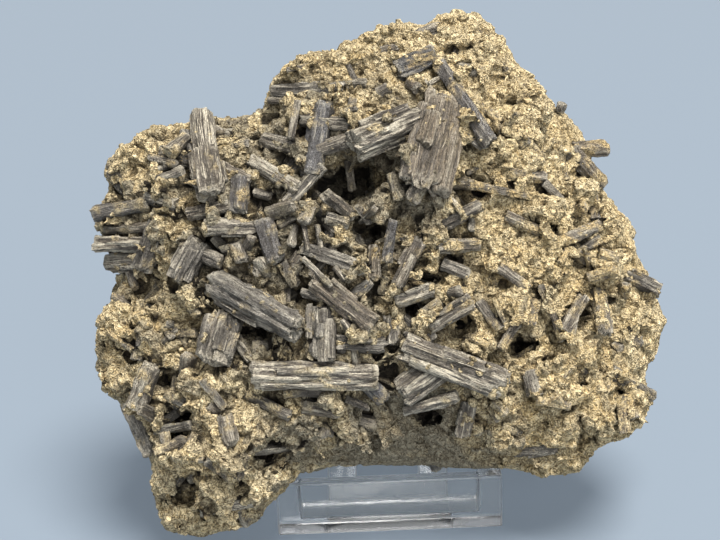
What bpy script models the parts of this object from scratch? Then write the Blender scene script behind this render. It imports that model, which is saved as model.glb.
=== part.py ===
"""An aragonite specimen, striated crystals grown through a crusted matrix, leaning on a clear acrylic easel.

The stone is laid out on its face: u runs right, v up and w out of the face, in millimetres from its middle.
The face leans back, and the layout is drawn as seen from VIEW_DISTANCE in front of it, so a point that lies
deeper is spread a little wider. The easel is laid out upright, in X, Y and Z from the floor line of its lip.
"""

import math
import random

import bmesh
import bpy
from mathutils import Euler, Matrix, Vector, noise

MM = 0.001

# Driving dimensions of the stone, in millimetres.
VIEW_DISTANCE = 273.0
FACE_LEAN = math.radians(20)
FACE_ROLL = math.radians(2.3)
FACE_Y, FACE_Z = -3.0, 65.1  # the face's middle, from the lip's floor line
STONE_DEPTH = 33.0  # from the face to the back, at the foot
BACK_SLOPE = 0.07  # how much deeper the back gets for each millimetre up the face
FRONT_ROUNDING, BACK_ROUNDING = 12.0, 10.0  # how far the face and the back curve in at the outline
FOOT_CLEAR = 0.2  # the low lobe stops this far above the floor
GAP = 0.3  # between pieces that touch

# Driving dimensions of the easel, in millimetres.
TRAY_X, TRAY_WIDTH, TRAY_DEPTH, TRAY_HEIGHT = 4.6, 51.4, 9.0, 13.2
LIP_THICK, TRAY_FLOOR, END_BLOCK = 3.0, 3.0, 5.2
UPRIGHT_WIDTH, UPRIGHT_LENGTH, UPRIGHT_LEAN = 7.0, 60.0, math.radians(24)
SHEET_THICK = 3.0
SLOT_WIDTH, SLOT_LOW, SLOT_HIGH = 14.4, 8.0, 50.0  # the slot between the uprights, along the panel
LEG_SPREAD = 62.0  # from the lip to the back of the rear leg's foot

# The outline of the stone on its face, clockwise from the crest, as (u, v).
OUTLINE = (
    (20, 54), (25, 52.5), (29.5, 48), (32.5, 41.5), (38, 38.5), (40.5, 34), (44.5, 30), (47, 25),
    (48.5, 18.5), (55.5, 9), (56.5, 3.5), (63.5, -11), (59, -22), (60.5, -27.5), (58.5, -32.5),
    (47.5, -38), (46, -42), (40.5, -43), (33, -41.5), (14, -41.5), (-6, -41), (-12.5, -43), (-24, -53.5),
    (-33, -55.5), (-40.5, -54), (-43, -47), (-43.5, -40.5), (-45.5, -34), (-49.5, -28), (-54, -25),
    (-55, -12), (-49.5, -1.5), (-54.5, 8.5), (-54, 13), (-52, 17), (-53, 20.5), (-49.5, 26),
    (-44, 29), (-22.5, 32), (-19, 35), (-17.5, 40.5), (-12, 45), (-5, 46), (6.5, 51), (14.5, 51),
)
OUTLINE_MIDDLE = (3.0, -3.0)

# Broad swells of the face: (u, v), radius and height.
SWELLS = (
    ((-35, -37), 15, 7),
    ((-12, -12), 18, 3),
    ((14, 25), 14, 2.5),
    ((44, -28), 14, 2),
    ((21, 47), 16, -5),
    ((50, 10), 12, -2),
    ((-46, -14), 12, -1.5),
)

# Crystals of the face: name, root (u, v), height of the root's axis above the crust, tip (u, v), height of
# the tip's axis, width, and thickness as a share of the width.
PRISMS = (
    ("horn", (-33.5, 33), 0, (-31.5, 16.5), 3.5, 7, 0.85),
    ("top_ledge", (-18.5, 37.5), 0, (-3, 38), 1.5, 3.5, 0.8),
    ("slim_post", (-13, 35.5), 3, (-14.5, 27.5), 4, 2, 0.9),
    ("leaning_slab", (-7.5, 35), 0, (-10.5, 19.5), 2, 5.75, 0.7),
    ("log", (12.5, 32), 0, (-1.5, 26.5), 4, 7.5, 0.95),
    ("log_shadow", (-12.5, 31.5), 0, (0.5, 30), 1.5, 3.75, 0.8),
    ("mid_stub", (-9, 25), 1, (-1.5, 27.5), 2, 3.5, 0.9),
    ("big_blade", (18, 36.5), 1.5, (13.5, 17), 4.5, 12.5, 0.5),
    ("blade_foot", (10.5, 25), 3, (9.5, 19), 4.5, 3.75, 0.8),
    ("diagonal_lath", (16.5, 43.5), 3, (27.5, 26.5), 5.5, 4.25, 0.6),
    ("smooth_block", (7.5, 41.5), 0, (16, 45), 1, 6, 0.9),
    ("knob", (10, 39.5), 1, (12, 38), 2.5, 2.75, 1),
    ("back_stub", (3.5, 37), 0, (6.5, 38.5), 1, 3.25, 0.9),
    ("crest_grey", (11, 48.5), 0, (17, 50.5), 0.5, 4, 0.8),
    ("crest_stub", (4, 46), 0, (8, 47), 0.5, 3, 0.8),
    ("left_ledge", (-44, 14), 0, (-56, 11.5), 1, 4, 0.8),
    ("left_cream", (-43.5, 5.5), 0, (-55.5, 5.5), 0, 4, 0.8),
    ("left_brown", (-44, 2), -2, (-53, 1.5), -2, 5, 0.8),
    ("steep_wedge", (-41.5, 12), 1, (-46, 0), 3, 5.25, 0.8),
    ("broad_wedge", (-33.5, 6), 0, (-38, -2.5), 3, 7.5, 0.8),
    ("flat_prism", (-21.5, 9), 1, (-33, 9), 3, 4.5, 0.85),
    ("slanting_bar", (-23, 23), 1, (-13, 17), 3, 4.25, 0.85),
    ("glass_block_a", (-25, 19.5), 1, (-25.5, 12), 2.5, 4.25, 0.9),
    ("glass_block_b", (-20.5, 10.5), 1, (-17.5, 1.5), 2.5, 5, 0.9),
    ("side_blade", (-8, 22), 2, (-15.5, 13.5), 2, 3.25, 0.6),
    ("prism_end", (-1.5, 11.5), 0, (-7.5, 16), 4, 3.75, 0.9),
    ("glassy_lath", (7, 10.5), 3, (5.5, 1.5), 5, 2.5, 0.7),
    ("low_stub", (14.5, 21.5), 2, (10.5, 14), 4.5, 3.75, 0.9),
    ("lath_pack", (-12.5, 5), 2, (1, 0), 3.5, 3.75, 0.5),
    ("brown_prism", (-10, -2), 2, (3, -12), 4.5, 6.5, 0.8),
    ("dark_log", (-31, -2.5), 1, (-13, -12.5), 4.5, 8.5, 0.85),
    ("fibre_fan", (-28, -9), 0, (-31, -19.5), 4, 9.25, 0.55),
    ("grey_column", (-8, -7.5), 1, (-8, -19), 3, 7.25, 0.6),
    ("grey_bar", (-5, -15.5), 2, (5.5, -15.5), 2.5, 5.25, 0.8),
    ("long_log", (-22, -21), 3, (6, -21), 2.5, 4.5, 0.9),
    ("long_under", (-16, -25.5), 1, (-4.5, -25.5), 1.5, 3.25, 0.9),
    ("great_prism", (9, -16), 2, (31, -24.5), 5.5, 8.5, 0.85),
    ("v_branch", (17, -20), 2, (8, -26.5), 4, 7.25, 0.7),
    ("small_prism", (9, -29.5), 3, (20.5, -26.5), 4.5, 3.25, 0.9),
    ("stub_down", (23, -27.5), 1, (21.5, -35), 3.5, 4.5, 0.9),
    ("dark_ball", (1.5, -23.5), 0, (5.5, -27.5), 1.5, 4.5, 0.9),
    ("green_blade", (13, 6.5), 2, (7.5, -3.5), 3.5, 4.25, 0.7),
    ("brown_fibre_a", (3, 5), 1, (2.5, -2.5), 2.5, 4.25, 0.8),
    ("tan_chunk_a", (7.5, -6.5), 1, (15.5, -4), 2.5, 4.25, 0.9),
    ("tan_chunk_b", (14, -12), 1, (23.5, -6.5), 3.5, 5, 0.9),
    ("green_bar", (14.5, 8), 1, (25.5, 13.5), 2.5, 3.25, 0.8),
    ("stacked_laths", (25, 5.5), 0, (16, 5), 3.5, 3.5, 0.8),
    ("embed_a", (39, 19.5), 0, (31, 20.5), 1.5, 3.25, 0.8),
    ("edge_prism", (44.5, 25.5), -1, (52, 25.5), 0, 4, 0.85),
    ("edge_blade", (44, 25.5), 0, (51, 17.5), 0, 4.25, 0.7),
    ("blue_patch", (48.5, 17), 0, (49.5, 10.5), 1, 3, 0.8),
    ("grey_diag_a", (41.5, 5.5), 0, (51, 9.5), 2, 3.25, 0.8),
    ("right_lump", (55.5, -1), 0, (63, -4.5), 0, 4.5, 0.85),
    ("striped_stub", (50, -4), 0, (51.5, -13.5), 4, 4.5, 0.8),
    ("dark_blade", (38, -3), 2, (42.5, -15), 2.5, 2, 0.5),
    ("tan_blade", (47, -5.5), 2, (42.5, -13), 3.5, 3.25, 0.7),
    ("tan_stub", (44.5, -8.5), 1, (43.5, -14.5), 3, 3.25, 0.8),
    ("right_low_blade", (52.5, -21), 1, (61.5, -27), 1.5, 3.75, 0.8),
    ("chunk_down", (35.5, -21), 0, (37, -26.5), 1.5, 4.5, 0.9),
    ("brown_fibre_b", (6.5, -9.5), 1, (7, -15.5), 2.5, 3.5, 0.8),
    ("grey_low", (9, -10), 0, (15.5, -15), 2, 3.25, 0.8),
    ("low_left_slab", (-48.5, -27.5), -3, (-43.5, -38.5), -3, 5, 0.6),
    ("striated_block", (-43.5, -20), 1, (-47, -29), 3.5, 6, 0.85),
    ("small_fibres", (-28.5, -30.5), 1, (-27, -37), 2.5, 4.75, 0.8),
    ("dark_stick", (-38.5, 1), 0, (-34, -7), 1.5, 2.75, 0.8),
    ("left_bar_b", (-45, 15), 0, (-38.5, 13.5), 1.5, 3.5, 0.9),
    ("mid_bar_a", (-29, 22), 0, (-23, 19), 1.5, 2.75, 0.8),
    ("mid_bar_b", (-20.5, 27.5), 0, (-12, 25), 1, 4.25, 0.7),
    ("mid_bar_g", (17, 1.5), 1, (23, -1), 2, 3, 0.8),
    ("mid_bar_h", (29, 0.5), 0, (35.5, -4), 1.5, 2.75, 0.8),
    ("low_bar_a", (-12.5, -28.5), 0, (-4, -30), 1.5, 3.25, 0.8),
    ("low_bar_d", (32, -38), -1, (42, -37), 0, 4.25, 0.7),
    ("low_bar_e", (-33.5, -50.5), -1, (-22.5, -48.5), 0, 3.25, 0.7),
    ("knob_under", (14.5, -37), -9, (16, -41.5), -9, 3.25, 0.9),
    ("mid_right_a", (30.5, 11.5), 0, (38, 8), 1.5, 3, 0.8),
    ("mid_right_c", (53, -17), 0, (59, -14.5), 1, 3.75, 0.8),
    ("mid_right_d", (42, -18), 0, (48.5, -21.5), 1, 3.25, 0.8),
)

# Crusted lumps of the face: name, middle (u, v), height above the crust and width.
LUMPS = (
    ("peach_crust", (-47.5, 23.5), 0, 10.5),
    ("crust_a", (-39.5, 22), 0, 8),
    ("crust_b", (-40.5, 17), 0, 9.75),
    ("crust_c", (-50, -11.5), 0, 11),
    ("crust_d", (-51, -20.5), -1, 9.75),
    ("crust_e", (-43.5, -13.5), 1, 8.75),
    ("crust_f", (-32.5, -25), 1.5, 10),
    ("crust_g", (-34.5, -30), 1, 9.25),
    ("crinkle_lump", (-36.5, -38), 2, 10),
    ("crinkle_side", (-28.5, -39.5), 2, 8.75),
    ("round_lump", (-31, -46.5), 2, 9.75),
    ("low_lump_a", (-40, -43.5), 0, 8.5),
    ("low_lump_b", (-38.5, -51), 0, 9.25),
    ("low_lump_c", (-29, -51.5), -1, 8.75),
    ("low_lump_d", (-22, -44.5), 0, 8.5),
    ("crest_a", (19.5, 49), 0, 11),
    ("crest_b", (25.5, 43.5), 0, 10.5),
    ("crest_c", (31.5, 36), 0, 9.75),
    ("crest_d", (35.5, 31), 1, 11),
    ("crest_e", (5.5, 47.5), 0, 8.75),
    ("crest_f", (-2, 43), 0, 9.75),
    ("crest_g", (-12, 42.5), 0, 9.75),
    ("right_a", (33.5, 23), 1, 11.25),
    ("right_b", (45, 15.5), 0, 9.75),
    ("right_c", (38, 11), 1, 10.5),
    ("right_d", (54, 6.5), 0, 9.25),
    ("right_e", (49.5, -0.5), 0, 11),
    ("right_f", (39, 1.5), 1, 11.25),
    ("right_g", (58, -10), 0, 10),
    ("right_h", (54, -17), 0, 8.75),
    ("right_i", (45, -18.5), 1, 9.25),
    ("right_j", (41, -24.5), 1, 9.25),
    ("right_k", (49.5, -28), 1, 11),
    ("right_l", (42, -33), 1, 10.5),
    ("right_m", (57, -28), 0, 9.25),
    ("right_n", (53.5, -33), -1, 8),
    ("right_o", (39.5, -39), -1, 9.25),
    ("right_p", (45, -38), 0, 8),
    ("mid_a", (29.5, -34), 0, 8.75),
    ("mid_b", (25.5, -14.5), 0, 8.5),
    ("mid_c", (19.5, -4.5), 1, 8),
    ("mid_d", (32.5, -6.5), 1, 9.75),
    ("mid_e", (7, -32.5), 0, 6.75),
    ("mid_f", (-1.5, -32.5), 0, 9.25),
    ("mid_g", (-11.5, -32.5), 0, 8.75),
    ("mid_h", (-21.5, -33.5), 1, 9.25),
    ("mid_i", (-20.5, -17), 0, 7.25),
    ("mid_k", (-39.5, 8), 0, 8),
    ("mid_l", (-25, 4), 0, 8.75),
    ("mid_m", (-14.5, 1.5), 0, 7.25),
    ("mid_n", (4, 13.5), 1, 8.5),
    ("mid_o", (-13.5, 13.5), 1, 7.25),
    ("mid_p", (-25.5, 26), 0, 7.5),
    ("mid_q", (-4, 8), 0, 8.5),
    ("mid_r", (19, 13.5), 1, 7.25),
    ("mid_t", (0, 44), 0, 9.25),
    ("mid_u", (14.5, 0.5), 1, 6.25),
    ("mid_y", (-27, -22.5), 0, 7.25),
)

# Hollows of the face: name, middle (u, v), half-open size (width, height) and depth.
HOLLOWS = (
    ("great_cave", (-1, 18), (12.5, 7), 15),
    ("left_cave", (-49.5, 17), (5, 3.5), 9),
    ("nook_a", (-32.5, 5.5), (3, 2.5), 7),
    ("under_dark_log", (-23, -12.5), (11.5, 4), 9),
    ("nook_b", (13.5, -1.5), (7, 3), 8),
    ("nook_c", (12, -8), (6.5, 2.5), 8),
    ("black_hole", (21.5, -11), (4.5, 3), 10),
    ("stub_hole", (46, -9.5), (3, 4.5), 10),
    ("slit", (25, 17), (8.5, 2.5), 10),
    ("left_hole_a", (-39, -30.5), (6.5, 2.5), 9),
    ("left_hole_b", (-39.5, -35), (7.5, 3), 9),
    ("left_hole_c", (-40, -22.5), (3, 4), 8),
    ("under_hole", (-19.5, -39), (6, 2.5), 8),
    ("low_hole", (14.5, -31.5), (6, 2.5), 8),
    ("brown_hollow", (34.5, -15.5), (7, 4.5), 9),
    ("crest_slit", (35.5, 27), (7, 2), 8),
    ("blade_shadow", (11, -25), (8.5, 3), 8),
    ("mid_hole", (4, 8), (5.5, 2), 7),
    ("left_nook", (-44, 2.5), (3.5, 5.5), 8),
)

# Crystals and lumps of the back and of the rim, which follow no plan: how many, and their sizes.
BACK_PRISMS, BACK_LUMPS, RIM_GROWTHS = 12, 12, 14
BACK_LENGTHS, BACK_WIDTHS, BACK_LUMP_WIDTHS = (9, 19), (3.2, 6.5), (7, 12)
LUMP_CORNERS, LUMP_SUNK, LUMP_SPREAD = 9, 0.1, 1.2
EASEL_ZONE = (-13.5, 22.5, 12.0)  # the back inside these u, and below this v, lies on the easel

# Materials: colour, roughness and how much light goes through.
STONE_COLOUR, STONE_ROUGHNESS = (0.42, 0.34, 0.22), 0.9
ACRYLIC_COLOUR, ACRYLIC_ROUGHNESS, ACRYLIC_IOR = (0.93, 0.96, 0.97), 0.04, 1.49


def clear_scene():
    for thing in list(bpy.data.objects):
        bpy.data.objects.remove(thing)


def face_axes():
    """The face's right, up and outward directions in the row frame."""
    along, up = Vector((1, 0, 0)), Vector((0, math.sin(FACE_LEAN), math.cos(FACE_LEAN)))
    out = Vector((0, -math.cos(FACE_LEAN), math.sin(FACE_LEAN)))
    right = along * math.cos(FACE_ROLL) - up * math.sin(FACE_ROLL)
    up = along * math.sin(FACE_ROLL) + up * math.cos(FACE_ROLL)
    return right, up, out


RIGHT, UP, OUT = face_axes()
FACE_MIDDLE = Vector((0, FACE_Y, FACE_Z))


def place(u, v, w):
    """A layout point of the face, drawn in perspective, as a point in the row frame, in millimetres."""
    spread = (VIEW_DISTANCE - w) / VIEW_DISTANCE
    return FACE_MIDDLE + RIGHT * u * spread + UP * v * spread + OUT * w


def rim_share(u, v):
    """How far (u, v) lies from the outline's middle, as a share of the way to the outline."""
    du, dv = u - OUTLINE_MIDDLE[0], v - OUTLINE_MIDDLE[1]
    if math.hypot(du, dv) < 1e-6:
        return 0.0
    best = 9.0
    for (au, av), (bu, bv) in zip(OUTLINE, OUTLINE[1:] + OUTLINE[:1]):
        au, av, bu, bv = (
            au - OUTLINE_MIDDLE[0],
            av - OUTLINE_MIDDLE[1],
            bu - OUTLINE_MIDDLE[0],
            bv - OUTLINE_MIDDLE[1],
        )
        cross = du * (bv - av) - dv * (bu - au)
        if abs(cross) < 1e-9:
            continue
        reach = (au * (bv - av) - av * (bu - au)) / cross
        along = (au * dv - av * du) / cross
        if reach > 0 and -1e-6 <= along <= 1 + 1e-6:
            best = min(best, 1 / reach)
    return best


def front_depth(u, v):
    """w of the crust's face at (u, v)."""
    swell = sum(
        height * math.exp(-((u - cu) ** 2 + (v - cv) ** 2) / radius**2)
        for (cu, cv), radius, height in SWELLS
    )
    return swell - FRONT_ROUNDING * min(rim_share(u, v), 1.0) ** 5


def back_depth(u, v):
    """w of the back at (u, v)."""
    low_edge = min(v for _, v in OUTLINE)
    flat = -(STONE_DEPTH + BACK_SLOPE * (v - low_edge))
    return flat + BACK_ROUNDING * min(rim_share(u, v), 1.0) ** 5


def solid(name, points, faces):
    """An object of that name from points in millimetres, its faces pointing out."""
    mesh = bpy.data.meshes.new(name)
    mesh.from_pydata([Vector(p) * MM for p in points], [], faces)
    shape = bmesh.new()
    shape.from_mesh(mesh)
    bmesh.ops.recalc_face_normals(shape, faces=shape.faces)
    shape.to_mesh(mesh)
    shape.free()
    made = bpy.data.objects.new(name, mesh)
    bpy.context.scene.collection.objects.link(made)
    return made


def matrix_body():
    """The crusted body: rings drawn in from the outline, over the face and over the back."""
    rings = (1.0, 0.92, 0.77, 0.55, 0.25)
    sides = len(OUTLINE)
    points, faces = [], []

    def ring(share, depth, swing):
        for u, v in OUTLINE:
            u = OUTLINE_MIDDLE[0] + (u - OUTLINE_MIDDLE[0]) * share
            v = OUTLINE_MIDDLE[1] + (v - OUTLINE_MIDDLE[1]) * share
            w = depth(u, v) + swing * noise.noise(Vector((u * 0.11, v * 0.11, 5.0 * swing)))
            points.append(place(u, v, w))

    for share in reversed(rings):
        ring(share, front_depth, 2.2)
    ring(1.02, lambda u, v: 0.5 * (front_depth(u, v) + back_depth(u, v)), 1.5)
    for share in rings:
        ring(share, back_depth, 1.8)
    rows = 2 * len(rings) + 1
    for row in range(rows - 1):
        for k in range(sides):
            n = (k + 1) % sides
            here, there = row * sides, (row + 1) * sides
            faces.append((here + k, here + n, there + n, there + k))
    faces.append(tuple(range(sides)))
    faces.append(tuple(range((rows - 1) * sides, rows * sides)))
    return solid("aragonite", points, faces)


def prism(name, root, tip, width, flat, luck):
    """A six-sided crystal from root to tip, flatter across than wide, its tip cut a little askew."""
    axis = (tip - root).normalized()
    side = axis.cross(OUT)
    side = side.normalized() if side.length > 0.2 else axis.cross(UP).normalized()
    proud = side.cross(axis)
    turn = luck.uniform(-0.35, 0.35)
    side, proud = (
        side * math.cos(turn) + proud * math.sin(turn),
        proud * math.cos(turn) - side * math.sin(turn),
    )
    points = []
    for end, share in ((root, luck.uniform(0.86, 0.95)), (tip, 1.0)):
        slant_across, slant_through = luck.uniform(-0.2, 0.2), luck.uniform(-0.2, 0.2)
        for k in range(6):
            angle = math.radians(60 * k + 7.5 * (k % 2))
            across = width / 2 * share * math.cos(angle)
            through = width * flat / 2 * share * math.sin(angle)
            askew = across * slant_across + through * slant_through
            points.append(end + side * across + proud * through + axis * askew)
    faces = [(k, (k + 1) % 6, 6 + (k + 1) % 6, 6 + k) for k in range(6)]
    faces += [tuple(range(6)), tuple(range(6, 12))]
    return solid(name, points, faces)


def lump(name, middle, width, luck):
    """An angular lump of crust: the hull of a few points thrown on a flattened ball."""
    shape = bmesh.new()
    roll = Euler([luck.uniform(0, math.tau) for _ in range(3)]).to_matrix()
    for k in range(LUMP_CORNERS):
        height = 1 - 2 * (k + 0.5) / LUMP_CORNERS
        angle = k * math.radians(137.5) + luck.uniform(-0.35, 0.35)
        ring = math.sqrt(1 - height * height)
        spot = roll @ Vector((ring * math.cos(angle), ring * math.sin(angle), height))
        spot -= OUT * spot.dot(OUT) * 0.25
        shape.verts.new((middle + spot * width / 2 * luck.uniform(0.84, 1.12)) * MM)
    made = bmesh.ops.convex_hull(shape, input=shape.verts)
    inner = {v for v in made["geom_interior"] if isinstance(v, bmesh.types.BMVert)}
    bmesh.ops.delete(shape, geom=list(inner), context="VERTS")
    bmesh.ops.triangulate(shape, faces=shape.faces)
    bmesh.ops.recalc_face_normals(shape, faces=shape.faces)
    mesh = bpy.data.meshes.new(name)
    shape.to_mesh(mesh)
    shape.free()
    thing = bpy.data.objects.new(name, mesh)
    bpy.context.scene.collection.objects.link(thing)
    return thing


def face_growths():
    """The crystals and lumps of the face."""
    luck = random.Random(11)
    made = []
    for name, root, root_height, tip, tip_height, width, flat in PRISMS:
        start = place(*root, front_depth(*root) + root_height)
        end = place(*tip, front_depth(*tip) + tip_height)
        made.append(prism(name, start, end, width, flat, luck))
    for name, spot, height, width in LUMPS:
        middle = place(*spot, front_depth(*spot) + height - width * LUMP_SUNK)
        made.append(lump(name, middle, width * LUMP_SPREAD, luck))
    return made


def on_easel(u, v):
    return EASEL_ZONE[0] < u < EASEL_ZONE[1] and v < EASEL_ZONE[2]


def spot_on_back(luck):
    """A random (u, v) of the back, clear of the easel."""
    while True:
        angle, share = luck.uniform(0, math.tau), math.sqrt(luck.uniform(0, 0.8))
        u = OUTLINE_MIDDLE[0] + 52 * share * math.cos(angle)
        v = OUTLINE_MIDDLE[1] + 48 * share * math.sin(angle)
        if rim_share(u, v) < 0.9 and not on_easel(u, v):
            return u, v


def back_growths():
    """Crystals and lumps scattered on the back and round the rim."""
    luck = random.Random(29)
    made = []
    for k in range(BACK_PRISMS):
        u, v = spot_on_back(luck)
        length, angle = luck.uniform(*BACK_LENGTHS), luck.uniform(0, math.tau)
        middle = place(u, v, back_depth(u, v) - luck.uniform(0.0, 1.2))
        along = RIGHT * math.cos(angle) + UP * math.sin(angle) - OUT * luck.uniform(-0.15, 0.3)
        half = along.normalized() * length / 2
        width = luck.uniform(*BACK_WIDTHS)
        made.append(prism(f"back_prism_{k}", middle - half, middle + half, width, 0.8, luck))
    for k in range(BACK_LUMPS):
        u, v = spot_on_back(luck)
        width = luck.uniform(*BACK_LUMP_WIDTHS)
        made.append(lump(f"back_lump_{k}", place(u, v, back_depth(u, v) + width * 0.2), width, luck))
    return made


def rim_growths():
    """Crystals and lumps spread round the rim, between the face and the back."""
    luck = random.Random(43)
    made = []
    for k in range(RIM_GROWTHS):
        place_on = (k * len(OUTLINE)) // RIM_GROWTHS
        u, v = OUTLINE[place_on]
        if on_easel(u, v):
            continue
        w = luck.uniform(-26, -16)
        outward = (RIGHT * (u - OUTLINE_MIDDLE[0]) + UP * (v - OUTLINE_MIDDLE[1])).normalized()
        rim = place(u, v, w)
        if k % 2:
            along = outward * 0.5 + OUT * luck.uniform(-1, 1) + RIGHT.cross(outward) * 0.4
            half = along.normalized() * luck.uniform(5, 8)
            middle = rim - outward * 3.2
            made.append(prism(f"rim_prism_{k}", middle - half, middle + half, luck.uniform(3.5, 5.5), 0.8, luck))
        else:
            width = luck.uniform(8, 12)
            made.append(lump(f"rim_lump_{k}", rim - outward * width * 0.36, width, luck))
    return made


def hollows():
    """Cutters for the dark hollows of the face, each a rough tapered plug."""
    luck = random.Random(5)
    made = []
    for name, spot, (width, height), depth in HOLLOWS:
        surface = front_depth(*spot)
        points = []
        for w, share in ((surface + 6, 1.25), (surface - depth * 0.5, 0.95), (surface - depth, 0.5)):
            for k in range(7):
                angle = k * math.tau / 7
                stretch = share * luck.uniform(0.8, 1.15) / 2
                u = spot[0] + width * stretch * math.cos(angle)
                v = spot[1] + height * stretch * math.sin(angle)
                points.append(place(u, v, w))
        faces = [tuple(range(7)), tuple(range(14, 21))]
        for row in (0, 7):
            faces += [(row + k, row + (k + 1) % 7, row + 7 + (k + 1) % 7, row + 7 + k) for k in range(7)]
        made.append(solid("cut_" + name, points, faces))
    return made


def block(name, low, high):
    """An upright block between two corners in millimetres."""
    (x0, y0, z0), (x1, y1, z1) = low, high
    points = [(x, y, z) for z in (z0, z1) for x, y in ((x0, y0), (x1, y0), (x1, y1), (x0, y1))]
    faces = [(0, 1, 2, 3), (4, 5, 6, 7), (0, 1, 5, 4), (1, 2, 6, 5), (2, 3, 7, 6), (3, 0, 4, 7)]
    return solid(name, points, faces)


def bar(name, profile, x0, x1):
    """A bar along X with that (y, z) profile."""
    points = [(x, y, z) for x in (x0, x1) for y, z in profile]
    count = len(profile)
    faces = [tuple(range(count)), tuple(range(count, 2 * count))]
    faces += [(k, (k + 1) % count, count + (k + 1) % count, count + k) for k in range(count)]
    return solid(name, points, faces)


def join(target, others, operation):
    """Applies one Boolean of target with all the others, and removes them."""
    group = bpy.data.collections.new("operands")
    for other in others:
        group.objects.link(other)
    modifier = target.modifiers.new(operation.lower(), "BOOLEAN")
    modifier.operation = operation
    modifier.operand_type = "COLLECTION"
    modifier.collection = group
    modifier.solver = "EXACT"
    modifier.use_self = operation == "UNION"
    bpy.context.view_layer.update()
    evaluated = target.evaluated_get(bpy.context.evaluated_depsgraph_get())
    mesh = bpy.data.meshes.new_from_object(evaluated)
    target.modifiers.clear()
    target.data = mesh
    for other in others:
        bpy.data.objects.remove(other)
    bpy.data.collections.remove(group)


def keep_main_body(thing):
    """Drops whatever the hollows cut loose."""
    shape = bmesh.new()
    shape.from_mesh(thing.data)
    left, bodies = set(shape.verts), []
    while left:
        body = [left.pop()]
        for corner in body:
            for edge in corner.link_edges:
                other = edge.other_vert(corner)
                if other in left:
                    left.remove(other)
                    body.append(other)
        bodies.append(body)
    bodies.sort(key=len)
    for body in bodies[:-1]:
        bmesh.ops.delete(shape, geom=body, context="VERTS")
    shape.to_mesh(thing.data)
    shape.free()


def tray():
    """The front tray: a lip and a floor between two solid end blocks."""
    left, right = TRAY_X - TRAY_WIDTH / 2, TRAY_X + TRAY_WIDTH / 2
    made = block("stand_tray", (left, 0, 0), (right, TRAY_DEPTH, TRAY_HEIGHT))
    channel = block(
        "cut_channel",
        (left + END_BLOCK, LIP_THICK, TRAY_FLOOR),
        (right - END_BLOCK, TRAY_DEPTH + 1, TRAY_HEIGHT + 1),
    )
    join(made, [channel], "DIFFERENCE")
    return made


def upright_line(distance, offset):
    """(y, z) on the backrest: distance up it from the floor, offset behind its front face."""
    foot = TRAY_DEPTH + GAP
    lean = UPRIGHT_LEAN
    return (
        foot + distance * math.sin(lean) + offset * math.cos(lean),
        distance * math.cos(lean) - offset * math.sin(lean),
    )


def crossing(start, end, other_start, other_end):
    """Where two lines in the (y, z) plane cross."""
    (ay, az), (by, bz), (cy, cz), (dy, dz) = start, end, other_start, other_end
    turn = (by - ay) * (dz - cz) - (bz - az) * (dy - cy)
    along = ((cy - ay) * (dz - cz) - (cz - az) * (dy - cy)) / turn
    return (ay + (by - ay) * along, az + (bz - az) * along)


def backrest_profile():
    """The bent sheet seen from its end: up the front panel, over the fold and down the rear leg."""
    front_foot, front_top = upright_line(0, 0), upright_line(UPRIGHT_LENGTH, 0)
    rear_top = upright_line(UPRIGHT_LENGTH, SHEET_THICK * 1.3)
    rear_foot = (LEG_SPREAD, 0.0)
    fall_y, fall_z = rear_foot[0] - rear_top[0], rear_foot[1] - rear_top[1]
    length = math.hypot(fall_y, fall_z)
    inward_y, inward_z = fall_z / length * SHEET_THICK, -fall_y / length * SHEET_THICK
    leg_top = (rear_top[0] + inward_y, rear_top[1] + inward_z)
    leg_foot = (rear_foot[0] + inward_y, rear_foot[1] + inward_z)
    panel_low, panel_high = upright_line(0, SHEET_THICK), upright_line(UPRIGHT_LENGTH, SHEET_THICK)
    floor_start, floor_end = (0.0, 0.0), (1.0, 0.0)
    return (
        front_foot,
        crossing(panel_low, panel_high, floor_start, floor_end),
        crossing(panel_low, panel_high, leg_top, leg_foot),
        crossing(leg_top, leg_foot, floor_start, floor_end),
        rear_foot,
        rear_top,
        front_top,
    )


def backrest():
    """One bent sheet: a slotted panel that carries the stone's back, and the leg behind it."""
    outer = SLOT_WIDTH / 2 + UPRIGHT_WIDTH
    made = bar("stand_back", backrest_profile(), TRAY_X - outer, TRAY_X + outer)
    slot = (
        upright_line(SLOT_LOW, -2),
        upright_line(SLOT_HIGH, -2),
        upright_line(SLOT_HIGH, SHEET_THICK + 2),
        upright_line(SLOT_LOW, SHEET_THICK + 2),
    )
    cutter = bar("cut_slot", slot, TRAY_X - SLOT_WIDTH / 2, TRAY_X + SLOT_WIDTH / 2)
    join(made, [cutter], "DIFFERENCE")
    return made


def easel_room():
    """What the stone has to leave free: the easel's pieces, a gap larger, and the floor."""
    half, outer = TRAY_WIDTH / 2 + GAP, SLOT_WIDTH / 2 + UPRIGHT_WIDTH + GAP
    tray_room = block(
        "cut_tray",
        (TRAY_X - half, -GAP, -20),
        (TRAY_X + half, TRAY_DEPTH + 12, TRAY_HEIGHT + GAP),
    )
    front_low, front_high = upright_line(-30, -GAP), upright_line(90, -GAP)
    profile = (front_low, (front_low[0] + 90, front_low[1]), (front_high[0] + 60, front_high[1]), front_high)
    back_room = bar("cut_uprights", profile, TRAY_X - outer, TRAY_X + outer)
    floor_room = block("cut_floor", (-120, -120, -60), (120, 120, FOOT_CLEAR))
    return [tray_room, back_room, floor_room]


def material(name, colour, roughness, clear=False):
    made = bpy.data.materials.new(name)
    made.use_nodes = True
    shader = made.node_tree.nodes["Principled BSDF"]
    shader.inputs["Base Color"].default_value = (*colour, 1)
    shader.inputs["Roughness"].default_value = roughness
    if clear:
        shader.inputs["Transmission Weight"].default_value = 1.0
        shader.inputs["IOR"].default_value = ACRYLIC_IOR
    return made


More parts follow.
